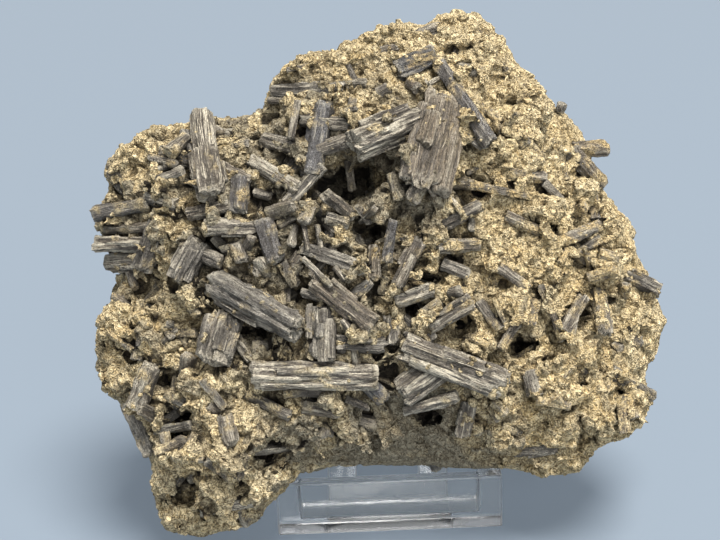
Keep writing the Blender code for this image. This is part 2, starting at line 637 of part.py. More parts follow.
def centre_on_floor(things):
    """Moves everything so that the origin is the middle of the whole object's box, on the floor."""
    corners = [thing.matrix_world @ v.co for thing in things for v in thing.data.vertices]
    middle_x = (min(c.x for c in corners) + max(c.x for c in corners)) / 2
    middle_y = (min(c.y for c in corners) + max(c.y for c in corners)) / 2
    for thing in things:
        thing.data.transform(Matrix.Translation((-middle_x, -middle_y, 0)))


def main():
    clear_scene()
    stone = matrix_body()
    join(stone, face_growths() + back_growths() + rim_growths(), "UNION")
    join(stone, hollows() + easel_room(), "DIFFERENCE")
    keep_main_body(stone)
    easel = [tray(), backrest()]
    stone.data.materials.clear()
    stone.data.materials.append(material("aragonite", STONE_COLOUR, STONE_ROUGHNESS))
    acrylic = material("acrylic", ACRYLIC_COLOUR, ACRYLIC_ROUGHNESS, clear=True)
    for piece in easel:
        piece.data.materials.clear()
        piece.data.materials.append(acrylic)
    centre_on_floor([stone, *easel])


main()
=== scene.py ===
"""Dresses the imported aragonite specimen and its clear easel.

The stone's face has its own layout: u runs right, v up and w out of the face, in millimetres from its middle.
The face leans back, and the layout is drawn as seen from VIEW_DISTANCE in front of it, so a point that lies
deeper is spread a little wider.
"""

import math
from contextlib import contextmanager

import bpy
import numpy as np
from bpy.props import FloatProperty, FloatVectorProperty, IntProperty, PointerProperty
from mathutils import Matrix, Vector, noise
from mathutils.bvhtree import BVHTree


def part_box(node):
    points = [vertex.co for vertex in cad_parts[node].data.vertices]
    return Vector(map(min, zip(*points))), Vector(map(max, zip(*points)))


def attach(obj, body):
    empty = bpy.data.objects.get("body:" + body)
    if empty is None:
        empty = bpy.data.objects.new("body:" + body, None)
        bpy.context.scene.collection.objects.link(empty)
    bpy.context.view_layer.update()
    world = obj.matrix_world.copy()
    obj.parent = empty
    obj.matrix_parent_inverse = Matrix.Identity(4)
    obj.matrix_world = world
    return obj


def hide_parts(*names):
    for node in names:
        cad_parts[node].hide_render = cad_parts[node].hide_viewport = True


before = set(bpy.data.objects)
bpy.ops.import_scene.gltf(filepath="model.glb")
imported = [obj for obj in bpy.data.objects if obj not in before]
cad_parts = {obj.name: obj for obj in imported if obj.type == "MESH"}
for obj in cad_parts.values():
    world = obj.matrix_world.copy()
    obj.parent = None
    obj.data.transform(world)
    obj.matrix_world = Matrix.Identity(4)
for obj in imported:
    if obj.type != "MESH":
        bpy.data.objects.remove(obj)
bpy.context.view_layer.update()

bl_info = {
    "name": "Aragonite Specimen",
    "version": (1, 0, 0),
    "blender": (4, 5, 0),
    "location": "View3D > Sidebar > Aragonite",
    "description": "Builds a crusted aragonite cluster on a clear display easel",
    "category": "Object",
}

MM = 0.001

# The stone's layout, in millimetres.
VIEW_DISTANCE = 273.0
FACE_LEAN = math.radians(20)
FACE_ROLL = math.radians(2.3)
FACE_Y, FACE_Z = -3.0, 65.1  # the face's middle, from the lip's floor line
TRAY_X = 4.6  # the tray's middle, from the face's middle
FRONT_ROUNDING = 12.0  # how far the face curves in at the outline
FACE_CUT, BACK_CUT = -15.5, -13.5  # w where the face's crust ends and where the back's begins, overlapping
FACE_SEAM = 3.0  # u where the two halves of the face's crust meet
FACE_LIMIT = -14.0  # w down to which slivers are strewn as on the face
CAVE_LIMIT = -17.0  # w down to which a sunken place counts as shut in
FOOT_TOP = -34.0  # v below which the stone stands behind the tray
EASEL_CLEAR = 0.3  # the crust's least distance from the easel
EASEL_REACH = 9.0  # how near the easel a form's room is measured
FLOOR_GAP = 0.1  # between the easel and the floor

# The growths under the crust and the crumbs on it, in millimetres.
LATH_WIDTHS, LATH_LENGTHS, LUMP_WIDTHS = (1.8, 4.6), (4.0, 9.0), (2.2, 6.5)
CRUMB_LEAST, CRUMB_MORE = 0.35, 1.0  # the smallest crumb, and how much larger the largest is
SPLINTER_SHARE = 0.12  # of the crumbs
GROWTH_SHAPES, CRUMB_SHAPES = 6, 8  # different shapes of each kind
TURN_SIZE = 15.0  # how far apart things that lie another way are

# The crust's relief, in millimetres: how wide its forms are, and how deep its clefts and pits.
LUMP_SIZE, PEBBLE_SIZE, GRAIN_SIZE, DIMPLE_SIZE, PIT_SIZE = 6.0, 2.7, 1.15, 1.5, 2.6
LUMP_CLEFT, PEBBLE_CLEFT, DIMPLE_DEPTH, PIT_DEPTH = 1.1, 0.4, 0.3, 1.5

# The crystals, in millimetres.
CRYSTAL_STEP = 0.42  # spacing of the points round a crystal
POINTS_AROUND, ROWS_ALONG = (9, 72), (4, 34)  # fewest and most
END_RINGS = (0.82, 0.55, 0.26)  # radii of the rings that close an end, as shares of the crystal's
LATH_RUNS, RUN_SHIFT = (2.5, 7.0), 9.0  # between two breaks of a lath, and how far its first is shifted
LATH_BREAKS = 9  # breaks of a lath before they repeat
SLIVER_LENGTHS, SLIVER_WIDTHS = (2.8, 8.0), (1.3, 3.8)
BUNDLE_WIDTH = 4.2  # from this width on a crystal is several grown together
RAGGED, RAGGED_GLASSY = 0.075, 0.045  # how uneven a crystal's laths are, as a share of its width

MERGE = 1e-6  # metres between points that are one
CRYSTAL_SMOOTH, EASEL_SMOOTH = 35, 25  # degrees up to which an edge is shaded smooth
CAVITY_RAYS = 8
CRUSTS = ("aragonite_crust_face", "aragonite_crust_back")
SEEDS = {"face": 3, "back": 4, "crystals": 17, "slivers": 23, "crumbs": 41, "cavities": 61}

# The stage, in metres: where the lights stand and their tints, the floor and the camera.
KEY_FROM, KEY_TINT = (0.5, -0.62, 2.3), (1.0, 0.97, 0.93)
FILL_SPOT, FILL_TINT, FILL_SIZE = (0.3, -1.5, 0.6), (0.95, 0.97, 1.0), 0.9
FLOOR_SIZE, CAMERA_NEAR = 6.0, 0.01

# The outline of the stone on its face, clockwise from the crest, as (u, v).
OUTLINE = (
    (20, 54), (25, 52.5), (29.5, 48), (32.5, 41.5), (38, 38.5), (40.5, 34), (44.5, 30), (47, 25),
    (48.5, 18.5), (55.5, 9), (56.5, 3.5), (63.5, -11), (59, -22), (60.5, -27.5), (58.5, -32.5), (47.5, -38),
    (46, -42), (40.5, -43), (33, -41.5), (16, -41.5), (12, -39.3), (-1.5, -39.3), (-6, -41), (-14.5, -42),
    (-18, -43.5), (-19, -49.5), (-24, -53.5), (-33, -55.5), (-40.5, -54), (-43, -47), (-43.5, -40.5),
    (-45.5, -34), (-49.5, -28), (-54, -25), (-55, -12), (-49.5, -1.5), (-54.5, 8.5), (-54, 13), (-52, 17),
    (-53, 20.5), (-49.5, 26), (-44, 29), (-22.5, 32), (-19, 35), (-17.5, 40.5), (-12, 45), (-5, 46),
    (6.5, 51), (14.5, 51),
)
OUTLINE_MIDDLE = (3.0, -3.0)

# Broad swells of the face: (u, v), radius and height.
SWELLS = (
    ((-35, -37), 15, 7), ((-12, -12), 18, 3), ((14, 25), 14, 2.5), ((44, -28), 14, 2), ((21, 47), 16, -5),
    ((50, 10), 12, -2), ((-46, -14), 12, -1.5),
)

# Crystals of the face: name, root (u, v), height of the root's axis above the crust, tip (u, v), height of
# the tip's axis, width, and thickness as a share of the width.
PRISMS = (
    ("horn", (-33.5, 33), 0, (-31.5, 16.5), 3.5, 6.75, 0.85),
    ("horn_foot", (-32.5, 25.5), 1.5, (-31, 15.5), 3.8, 8.5, 0.8),
    ("horn_side", (-37, 29), 0, (-34, 21.5), 1, 3, 0.9),
    ("top_ledge", (-18.5, 37.5), 0, (-3, 38), 1.5, 3.5, 0.8),
    ("under_ledge", (-19.5, 35.5), 0, (-5, 35.5), 0.5, 2, 0.8),
    ("slim_post", (-13, 35.5), 3, (-14.5, 27.5), 4, 2, 0.9),
    ("leaning_slab", (-7.5, 35), 0, (-10.5, 19.5), 2, 5.75, 0.7),
    ("log", (12.5, 32), 0, (-1.5, 26.5), 5.5, 8.75, 0.95),
    ("log_shadow", (-12.5, 31.5), 0, (0.5, 30), 1.5, 3.75, 0.8),
    ("mid_stub", (-9, 25), 1, (-1.5, 27.5), 2, 3.5, 0.9),
    ("big_blade", (18, 36.5), 1.5, (13.5, 17), 4.5, 12.5, 0.5),
    ("blade_foot", (10.5, 25), 3, (9.5, 19), 4.5, 3.75, 0.8),
    ("diagonal_lath", (16.5, 43.5), 3, (27.5, 26.5), 5.5, 4.25, 0.6),
    ("smooth_block", (7.5, 41.5), 0, (16, 45), 1, 6, 0.9),
    ("knob", (10, 39.5), 1, (12, 38), 2.5, 2.75, 1),
    ("cream_stick_a", (13.5, 40), 2, (16, 36.5), 3.5, 1, 0.9),
    ("cream_stick_b", (17, 40.5), 2, (14.5, 39), 3.5, 1, 0.9),
    ("back_stub", (3.5, 37), 0, (6.5, 38.5), 1, 3.25, 0.9),
    ("crest_grey", (11, 48.5), 0, (17, 50.5), 0.5, 4, 0.8),
    ("crest_stub", (4, 46), 0, (8, 47), 0.5, 3, 0.8),
    ("left_ledge", (-44, 14), 0, (-56, 11.5), 1, 4, 0.8),
    ("left_cream", (-43.5, 5.5), 0, (-55.5, 5.5), 0, 4, 0.8),
    ("left_brown", (-44, 2), -2, (-53, 1.5), -2, 5, 0.8),
    ("steep_wedge", (-41.5, 12), 1, (-46, 0), 3, 5.25, 0.8),
    ("broad_wedge", (-33.5, 6), 0, (-38, -2.5), 3, 7.5, 0.8),
    ("flat_prism", (-21.5, 9), 1, (-33, 9), 3, 4.5, 0.85),
    ("slanting_bar", (-23, 23), 1, (-13, 17), 3, 4.25, 0.85),
    ("glass_block_a", (-25, 19.5), 1, (-25.5, 12), 2.5, 4.25, 0.9),
    ("glass_block_b", (-20.5, 10.5), 1, (-17.5, 1.5), 2.5, 5, 0.9),
    ("side_blade", (-8, 22), 2, (-15.5, 13.5), 2, 3.25, 0.6),
    ("prism_end", (-1.5, 11.5), 0, (-7.5, 16), 4, 3.75, 0.9),
    ("cavity_post", (-2.5, 23), -5, (-1.5, 16.5), -4, 1.75, 0.9),
    ("glassy_lath", (7, 10.5), 3, (5.5, 1.5), 5, 2.5, 0.7),
    ("low_stub", (14.5, 21.5), 2, (10.5, 14), 4.5, 3.75, 0.9),
    ("twig_a", (-12, 10), 2, (-11, 4), 3.5, 1.75, 0.9),
    ("twig_b", (-13.5, 9.5), 1, (-14.5, 5), 2.5, 1.75, 0.9),
    ("twig_c", (-9, 9.5), 1, (-8.5, 4.5), 2.5, 1.5, 0.9),
    ("lath_pack", (-12.5, 5), 2, (1, 0), 3.5, 3.75, 0.5),
    ("pale_lath", (-12, 2.5), 3, (-6, -3.5), 4.5, 1.5, 0.8),
    ("brown_prism", (-10, -2), 2, (3, -12), 4.5, 6.5, 0.8),
    ("brown_side", (-3.5, -10.5), 3, (-1.5, -13.5), 4.5, 2, 0.9),
    ("dark_log", (-31, -2.5), 1, (-13, -12.5), 4.5, 8.5, 0.85),
    ("fibre_fan", (-28, -9), 0, (-31, -19.5), 4, 9.25, 0.55),
    ("grey_column", (-8, -7.5), 1, (-8, -19), 3, 7.25, 0.6),
    ("grey_bar", (-5, -15.5), 2, (5.5, -15.5), 2.5, 5.25, 0.8),
    ("long_log", (-22.5, -22.2), 3, (3.5, -22.2), 3, 7, 0.85),
    ("long_under", (-16, -25.5), 1, (-4.5, -25.5), 1.5, 3.25, 0.9),
    ("great_prism", (9, -16), 2, (31, -24.5), 5.5, 8.5, 0.85),
    ("v_branch", (17, -20), 2, (8, -26.5), 4, 7.25, 0.7),
    ("small_prism", (9, -29.5), 3, (20.5, -26.5), 4.5, 3.25, 0.9),
    ("stub_down", (23, -27.5), 1, (21.5, -35), 3.5, 4.5, 0.9),
    ("dark_ball", (1.5, -23.5), 0, (5.5, -27.5), 1.5, 4.5, 0.9),
    ("small_lath", (-3, -27), 2.5, (2, -29), 3.5, 1.75, 0.8),
    ("green_blade", (13, 6.5), 2, (7.5, -3.5), 3.5, 4.25, 0.7),
    ("brown_fibre_a", (3, 5), 1, (2.5, -2.5), 2.5, 4.25, 0.8),
    ("tan_chunk_a", (7.5, -6.5), 1, (15.5, -4), 2.5, 4.25, 0.9),
    ("tan_chunk_b", (14, -12), 1, (23.5, -6.5), 3.5, 5, 0.9),
    ("green_bar", (14.5, 8), 1, (25.5, 13.5), 2.5, 3.25, 0.8),
    ("stacked_laths", (25, 5.5), 0, (16, 5), 3.5, 3.5, 0.8),
    ("cave_roof", (36, 15.5), 1, (22.5, 18), 2.5, 2.25, 0.8),
    ("embed_a", (39, 19.5), 0, (31, 20.5), 1.5, 3.25, 0.8),
    ("embed_b", (38.5, 18.5), 0, (42.5, 14.5), 1.5, 2, 0.8),
    ("edge_prism", (44.5, 25.5), -1, (52, 25.5), 0, 4, 0.85),
    ("edge_blade", (44, 25.5), 0, (51, 17.5), 0, 4.25, 0.7),
    ("edge_knob", (42, 33), -1, (42.5, 35), 0, 2.5, 0.9),
    ("blue_patch", (48.5, 17), 0, (49.5, 10.5), 1, 3, 0.8),
    ("grey_diag_a", (41.5, 5.5), 0, (51, 9.5), 2, 3.25, 0.8),
    ("grey_diag_b", (45, 3.5), 0, (50.5, 6.5), 1.5, 2.5, 0.8),
    ("right_lump", (55.5, -1), 0, (63, -4.5), 0, 4.5, 0.85),
    ("striped_stub", (50, -4), 0, (51.5, -13.5), 4, 4.5, 0.8),
    ("dark_blade", (38, -3), 2, (42.5, -15), 2.5, 2, 0.5),
    ("tan_blade", (47, -5.5), 2, (42.5, -13), 3.5, 3.25, 0.7),
    ("tan_stub", (44.5, -8.5), 1, (43.5, -14.5), 3, 3.25, 0.8),
    ("right_low_blade", (52.5, -21), 1, (61.5, -27), 1.5, 3.75, 0.8),
    ("chunk_down", (35.5, -21), 0, (37, -26.5), 1.5, 4.5, 0.9),
    ("brown_fibre_b", (6.5, -9.5), 1, (7, -15.5), 2.5, 3.5, 0.8),
    ("grey_low", (9, -10), 0, (15.5, -15), 2, 3.25, 0.8),
    ("low_left_slab", (-48.5, -27.5), -3, (-43.5, -38.5), -3, 5, 0.6),
    ("striated_block", (-43.5, -20), 1, (-47, -29), 3.5, 6, 0.85),
    ("small_fibres", (-28.5, -30.5), 1, (-27, -37), 2.5, 4.75, 0.8),
    ("cave_wedge", (-43, -34), -2, (-35.5, -32.5), 0, 2.25, 0.8),
    ("dark_stick", (-38.5, 1), 0, (-34, -7), 1.5, 2.75, 0.8),
    ("left_bar_a", (-53.5, 8.5), -1, (-43.5, 9), 0, 2.5, 0.8),
    ("left_bar_b", (-45, 15), 0, (-38.5, 13.5), 1.5, 3.5, 0.9),
    ("cream_bar", (-36.5, 11.5), 1, (-27, 13.5), 2, 3.25, 0.8),
    ("mid_bar_a", (-29, 22), 0, (-23, 19), 1.5, 2.75, 0.8),
    ("mid_bar_b", (-20.5, 27.5), 0, (-12, 25), 1, 4.25, 0.7),
    ("mid_bar_c", (-38, 5), 0, (-29, 1.5), 1, 3.25, 0.8),
    ("mid_bar_d", (-6.5, -6.5), 1, (-12.5, -4.5), 1.5, 2.5, 0.8),
    ("mid_bar_e", (-1.5, -5.5), 2, (2.5, -2.5), 3, 2.5, 0.7),
    ("mid_bar_f", (9.5, -12.5), 1, (12.5, -17), 2, 3, 0.8),
    ("mid_bar_g", (17, 1.5), 1, (23, -1), 2, 3, 0.8),
    ("mid_bar_h", (29, 0.5), 0, (35.5, -4), 1.5, 2.75, 0.8),
    ("mid_bar_i", (25, -6.5), 0, (29.5, -12.5), 1.5, 2.75, 0.8),
    ("low_bar_a", (-12.5, -28.5), 0, (-4, -30), 1.5, 3.25, 0.8),
    ("low_bar_b", (-24, -26), 0, (-14.5, -30.5), 1, 3, 0.8),
    ("low_bar_c", (-22.5, -38), -2, (-12.5, -37), -1, 2.5, 0.8),
    ("low_bar_d", (32, -38), -1, (42, -37), 0, 4.25, 0.7),
    ("low_bar_e", (-33.5, -50.5), -1, (-22.5, -48.5), 0, 3.25, 0.7),
    ("knob_under", (14.5, -37), -9, (16, -41.5), -9, 3.25, 0.9),
    ("mid_right_a", (30.5, 11.5), 0, (38, 8), 1.5, 3, 0.8),
    ("mid_right_b", (33.5, -10), 0, (29.5, -17), 1.5, 2.75, 0.8),
    ("mid_right_c", (53, -17), 0, (59, -14.5), 1, 3.75, 0.8),
    ("mid_right_d", (42, -18), 0, (48.5, -21.5), 1, 3.25, 0.8),
)

# Crystals with smooth, glassy sides.
GLASSY = {
    "glass_block_a", "glass_block_b", "dark_ball", "smooth_block", "glassy_lath", "diagonal_lath",
    "blue_patch", "knob", "leaning_slab", "edge_blade", "left_ledge", "knob_under",
}

# How brown and how pale some crystals are, from 0 to 1; the rest are grey.
CRYSTAL_TINTS = {
    "horn": (0.4, 0.95), "log": (0.35, 1.0), "great_prism": (0.35, 0.8), "long_log": (0.35, 1.0),
    "horn_foot": (0.4, 0.85), "brown_prism": (0.85, 0.35), "brown_side": (0.7, 0.8), "pale_lath": (0.5, 0.8),
    "prism_end": (0.5, 0.5), "big_blade": (0.9, 0.0), "dark_log": (0.1, 0.15), "glass_block_a": (0.0, 0.1),
    "glass_block_b": (0.0, 0.1), "dark_ball": (0.0, 0.0), "glassy_lath": (0.1, 0.5),
    "diagonal_lath": (0.25, 0.55), "small_prism": (0.4, 0.7), "edge_prism": (0.9, 0.3),
    "edge_blade": (0.8, 0.4), "tan_blade": (0.8, 0.7), "tan_stub": (0.7, 0.6), "flat_prism": (0.3, 0.6),
    "left_cream": (0.5, 0.8), "cream_bar": (0.5, 0.8), "cream_stick_a": (0.6, 1.0),
    "cream_stick_b": (0.6, 1.0), "v_branch": (0.4, 0.7), "striated_block": (0.5, 0.7),
    "stub_down": (0.6, 0.7), "smooth_block": (0.1, 0.25), "green_blade": (0.75, 0.45),
    "brown_fibre_a": (0.9, 0.4), "fibre_fan": (0.2, 0.35), "grey_column": (0.1, 0.35),
    "leaning_slab": (0.2, 0.25), "low_left_slab": (0.1, 0.2),
}

# Gaps between the crystals: (u, v), radius and depth.
GAPS = (
    ((-3, 18.5), 5.5, 9), ((3, 20.5), 4, 7), ((-8, 17.5), 3.5, 6), ((1.5, 8.5), 2.6, 5), ((23.5, 16.5), 3, 5),
    ((-33, 5), 2.4, 4), ((-12, -5.5), 2.6, 4), ((21.5, -12), 2.6, 4.5), ((46, -10), 2.6, 5),
    ((10.5, -8.5), 2.4, 4), ((-19, 33), 2.6, 4), ((-24, 15.5), 2.6, 4), ((14, -30), 3, 3.5),
    ((-30, -20), 2.5, 3.5), ((-45, -3), 2.4, 3.5), ((33, -16), 2.2, 3.5), ((-38.5, -34), 3, 5),
    ((5, -22), 2.2, 3.5), ((-17.6, -39.5), 3.2, 4), ((-36.5, -46.8), 2.4, 4), ((-40, -23), 2.2, 3.5),
    ((-19, -26.5), 2.4, 3.5), ((-35.5, -44.3), 1.6, 3.5), ((-25.2, -46.2), 1.8, 3.5),
    ((-32.3, -50.4), 1.8, 3), ((-36.2, -31), 1.8, 4), ((-48, -18.5), 1.5, 3), ((-52.4, -15.1), 1.5, 3),
    ((37, 10.5), 1.5, 3), ((40, 8.7), 1.4, 3), ((19, 2), 1.8, 4), ((12.5, 2), 1.6, 3.5),
    ((54.5, -26.5), 1.4, 2.5), ((-12.2, 29), 1.6, 4), ((-19, 14.7), 1.5, 3), ((-38.5, -2.5), 1.6, 3),
)

# Crusted lumps that stand out of the matrix: (u, v), radius and lift.
LUMPS = (
    ((-32.8, -27.3), 4.4, 2.0), ((-34.9, -39.9), 4.0, 2.5), ((-38.6, -38.2), 2.8, 1.5),
    ((-29.6, -34), 2.9, 2.0), ((-26.7, -38.2), 2.5, 1.5), ((-40, -43), 2.9, 1.0), ((-31.1, -46.2), 3.9, 2.5),
    ((-27.6, -45.2), 2.8, 2.0), ((-22.3, -46), 2.8, 1.0), ((-38, -50.6), 3.1, 1.5), ((-28.5, -51), 3.2, 1.0),
    ((-51, -10.5), 3.0, 1.0), ((-44.3, -16.4), 3.4, 1.5), ((-51.3, -18.5), 2.7, 1.0),
    ((-46.5, -24.5), 2.9, 1.0), ((-48.5, 18), 3.2, 1.5), ((-43, 24.5), 3.4, 1.5), ((56, -19), 4.2, 1.5),
    ((50, -27), 3.8, 1.5), ((42, -38), 3.4, 1.0), ((30, -29), 3.8, 1.5), ((-24, -31), 3.2, 1.5),
    ((57, -2), 3.4, 1.0), ((28, 42), 3.6, 1.0),
)

# Colour zones of the crust: (u, v), radius, how ochre, how grey and how pale it is there.
CRUST_ZONES = (
    ((22, 44), 15, 0.6, 0.0, 1.0), ((-5, 42), 12, 0.65, 0.15, 0.6), ((34, 26), 12, 0.6, 0.05, 0.8),
    ((48, 2), 13, 0.8, 0.0, 0.9), ((36, 8), 12, 0.75, 0.0, 0.85), ((56, -16), 12, 0.6, 0.1, 0.7),
    ((40, -28), 14, 0.55, 0.1, 0.6), ((26, -16), 10, 0.55, 0.2, 0.75), ((14, -6), 9, 0.5, 0.25, 0.8),
    ((5, 22), 12, 0.3, 0.7, 0.3), ((-16, 22), 12, 0.3, 0.5, 0.55), ((-30, 8), 11, 0.35, 0.5, 0.55),
    ((-12, -6), 12, 0.35, 0.5, 0.7), ((-8, -24), 11, 0.4, 0.4, 0.75), ((-40, 26), 11, 0.5, 0.2, 0.65),
    ((-48, 8), 9, 0.4, 0.45, 0.55), ((-46, -18), 11, 0.5, 0.25, 0.6), ((-36, -30), 10, 0.35, 0.25, 0.95),
    ((-36, -46), 13, 0.5, 0.2, 0.9), ((-16, -36), 10, 0.3, 0.5, 0.5), ((10, -36), 10, 0.2, 0.85, 0.1),
    ((26, -36), 8, 0.35, 0.6, 0.3),
)


def face_axes():
    """The face's right, up and outward directions in the row frame."""
    along = Vector((1, 0, 0))
    up = Vector((0, math.sin(FACE_LEAN), math.cos(FACE_LEAN)))
    out = Vector((0, -math.cos(FACE_LEAN), math.sin(FACE_LEAN)))
    right = along * math.cos(FACE_ROLL) - up * math.sin(FACE_ROLL)
    up = along * math.sin(FACE_ROLL) + up * math.cos(FACE_ROLL)
    return np.array(right), np.array(up), np.array(out)


RIGHT, UP, OUT = face_axes()
TRAY_LOW, TRAY_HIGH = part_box("stand_tray")
FACE_MIDDLE = np.array(
    ((TRAY_LOW[0] + TRAY_HIGH[0]) / 2 - TRAY_X * MM, TRAY_LOW[1] + FACE_Y * MM, TRAY_LOW[2] + FACE_Z * MM)
)


def place(u, v, w):
    """Layout points of the face, in millimetres, as points in the row frame, in metres."""
    u, v, w = np.asarray(u, float), np.asarray(v, float), np.asarray(w, float)
    spread = (VIEW_DISTANCE - w) / VIEW_DISTANCE
    offset = (u * spread)[..., None] * RIGHT + (v * spread)[..., None] * UP + w[..., None] * OUT
    return FACE_MIDDLE + offset * MM


def layout_of(points):
    """The (u, v, w) of points in the row frame."""
    offset = (points - FACE_MIDDLE) / MM
    w = offset @ OUT
    spread = (VIEW_DISTANCE - w) / VIEW_DISTANCE
    return offset @ RIGHT / spread, offset @ UP / spread, w


def rim_share(u, v):
    """How far each (u, v) lies from the outline's middle, as a share of the way to the outline."""
    u, v = np.asarray(u, float) - OUTLINE_MIDDLE[0], np.asarray(v, float) - OUTLINE_MIDDLE[1]
    best = np.full(np.shape(u), 9.0)
    corners = np.array(OUTLINE, float) - OUTLINE_MIDDLE
    for (au, av), (bu, bv) in zip(corners, np.roll(corners, -1, axis=0)):
        cross = u * (bv - av) - v * (bu - au)
        cross = np.where(np.abs(cross) < 1e-9, 1e-9, cross)
        reach = (au * (bv - av) - av * (bu - au)) / cross
        along = (au * v - av * u) / cross
        crossed = (reach > 0) & (along >= -1e-6) & (along <= 1 + 1e-6)
        best = np.where(crossed, np.minimum(best, 1 / np.where(crossed, reach, 1)), best)
    return best


def far_off(u, v, spot, radius):
    """How many radii each (u, v) is from a spot, squared."""
    return ((u - spot[0]) ** 2 + (v - spot[1]) ** 2) / radius**2


def front_depth(u, v):
    """w of the crust's face at each (u, v)."""
    u, v = np.asarray(u, float), np.asarray(v, float)
    swell = sum(height * np.exp(-far_off(u, v, spot, radius)) for spot, radius, height in SWELLS)
    return swell - FRONT_ROUNDING * np.minimum(rim_share(u, v), 1.0) ** 5


def deselect_all():
    for thing in bpy.context.selected_objects:
        thing.select_set(False)


def activate(thing):
    """Selects one object alone and makes it active."""
    deselect_all()
    thing.select_set(True)
    bpy.context.view_layer.objects.active = thing


@contextmanager
def editing(thing):
    """Edit mode on one object, with all of it selected."""
    activate(thing)
    bpy.ops.object.mode_set(mode="EDIT")
    bpy.ops.mesh.select_all(action="SELECT")
    yield
    bpy.ops.object.mode_set(mode="OBJECT")


def apply_modifiers(thing):
    activate(thing)
    for modifier in list(thing.modifiers):
        bpy.ops.object.modifier_apply(modifier=modifier.name)


def smooth(thing, degrees):
    """Shades a piece smooth, but for edges sharper than the angle."""
    activate(thing)
    bpy.ops.object.shade_smooth_by_angle(angle=math.radians(degrees))


def new_object(name, mesh):
    made = bpy.data.objects.new(name, mesh)
    bpy.context.scene.collection.objects.link(made)
    return made


def new_mesh(name, points, faces):
    mesh = bpy.data.meshes.new(name)
    mesh.from_pydata(points, [], faces)
    return mesh


def merged_copy(node, name, flatten=False):
    """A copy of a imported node's mesh with its doubles merged, and its flat sides as single faces if asked."""
    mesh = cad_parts[node].data.copy()
    mesh.name = name
    mesh.materials.clear()
    made = new_object(name, mesh)
    with editing(made):
        bpy.ops.mesh.remove_doubles(threshold=MERGE)
        if flatten:
            bpy.ops.mesh.dissolve_limited(angle_limit=math.radians(1))
    return made


def read_all(items, what, width=3):
    """One number or vector of each vertex or polygon."""
    values = np.empty((len(items), width))
    items.foreach_get(what, values.ravel())
    return values


def read_points(mesh):
    return read_all(mesh.vertices, "co")


def write_points(mesh, points):
    mesh.vertices.foreach_set("co", points.ravel())
    mesh.update()


def read_normals(mesh):
    return read_all(mesh.vertices, "normal")


def mesh_polygons(mesh):
    """A mesh's points and faces as plain lists."""
    return [tuple(v.co) for v in mesh.vertices], [tuple(p.vertices) for p in mesh.polygons]


def stacked(parts):
    """Several lists of points and their faces as one."""
    points, faces = [], []
    for spots, polygons in parts:
        start = len(points)
        points += spots
        faces += [tuple(k + start for k in polygon) for polygon in polygons]
    return points, faces


def store(mesh, name, values, domain="POINT"):
    """Keeps one number for each vertex or face, for the materials to read."""
    layer = mesh.attributes.new(name, "FLOAT", domain)
    layer.data.foreach_set("value", np.asarray(values, np.float32))


def unit(vectors):
    return vectors / np.maximum(np.linalg.norm(vectors, axis=-1, keepdims=True), 1e-9)


def noise_at(points, size, shift=0.0):
    """Smooth noise from -1 to 1 at points in metres, with features of that size in millimetres."""
    scaled = points / (size * MM) + shift
    return np.array([noise.noise(spot) for spot in scaled.tolist()])


def cells_at(points, size, shift=0.0):
    """Distance to the nearest cell point, from 0 at its middle, with cells of that size in millimetres."""
    scaled = points / (size * MM) + shift
    return np.array([noise.voronoi(spot)[0][0] for spot in scaled.tolist()])


def blocks_at(points, size, shift=0.0):
    """Angular blocks of that size in millimetres: how near each point is to a cleft, and its block's luck."""
    warp = np.stack([noise_at(points, size * 0.5, shift + k) for k in (1.0, 2.0, 3.0)], axis=-1)
    clefts, lucks = [], []
    for spot in (points / (size * MM) + shift + warp * 0.22).tolist():
        distances, places = noise.voronoi(spot)
        clefts.append(distances[1] - distances[0])
        lucks.append(noise.cell(places[0] * 7.3))
    return np.clip(1 - np.array(clefts) / 0.22, 0, 1), np.array(lucks)


def relax(mesh, values, rounds):
    """Values of the vertices, each averaged with its neighbours a number of times."""
    edges = np.empty(len(mesh.edges) * 2, np.int64)
    mesh.edges.foreach_get("vertices", edges)
    first, second = edges.reshape(-1, 2).T
    count = len(mesh.vertices)
    degree = np.bincount(first, minlength=count) + np.bincount(second, minlength=count)
    degree = np.maximum(degree, 1)[:, None]
    values = values.reshape(count, -1).copy()
    for _ in range(rounds):
        total = np.empty_like(values)
        for axis in range(values.shape[1]):
            total[:, axis] = np.bincount(first, values[second, axis], count)
            total[:, axis] += np.bincount(second, values[first, axis], count)
        values = 0.5 * values + 0.5 * total / degree
    return values


def bulge(mesh, rounds):
    """How far each vertex stands out of the surface round it, in millimetres; hollows are negative."""
    points = read_points(mesh)
    flat = relax(mesh, points, rounds)
    return np.einsum("ij,ij->i", points - flat, read_normals(mesh)) / MM


def crystal_axes():
    """Root, tip, width and thickness of every named crystal, in metres."""
    rows = []
    for name, root, root_height, tip, tip_height, width, flat in PRISMS:
        start = place(*root, front_depth(*root) + root_height)
        end = place(*tip, front_depth(*tip) + tip_height)
        rows.append((name, start, end, width * MM, width * flat * MM))
    return rows


# ---------------------------------------------------------------- crust


def cut_away(thing, spot, away):
    """Keeps the part of a mesh beyond the plane through spot, on the side away points to, and closes it."""
    with editing(thing):
        bpy.ops.mesh.bisect(plane_co=spot, plane_no=away, clear_inner=True, threshold=MERGE)
        bpy.ops.mesh.select_all(action="SELECT")
        bpy.ops.mesh.fill_holes(sides=0)


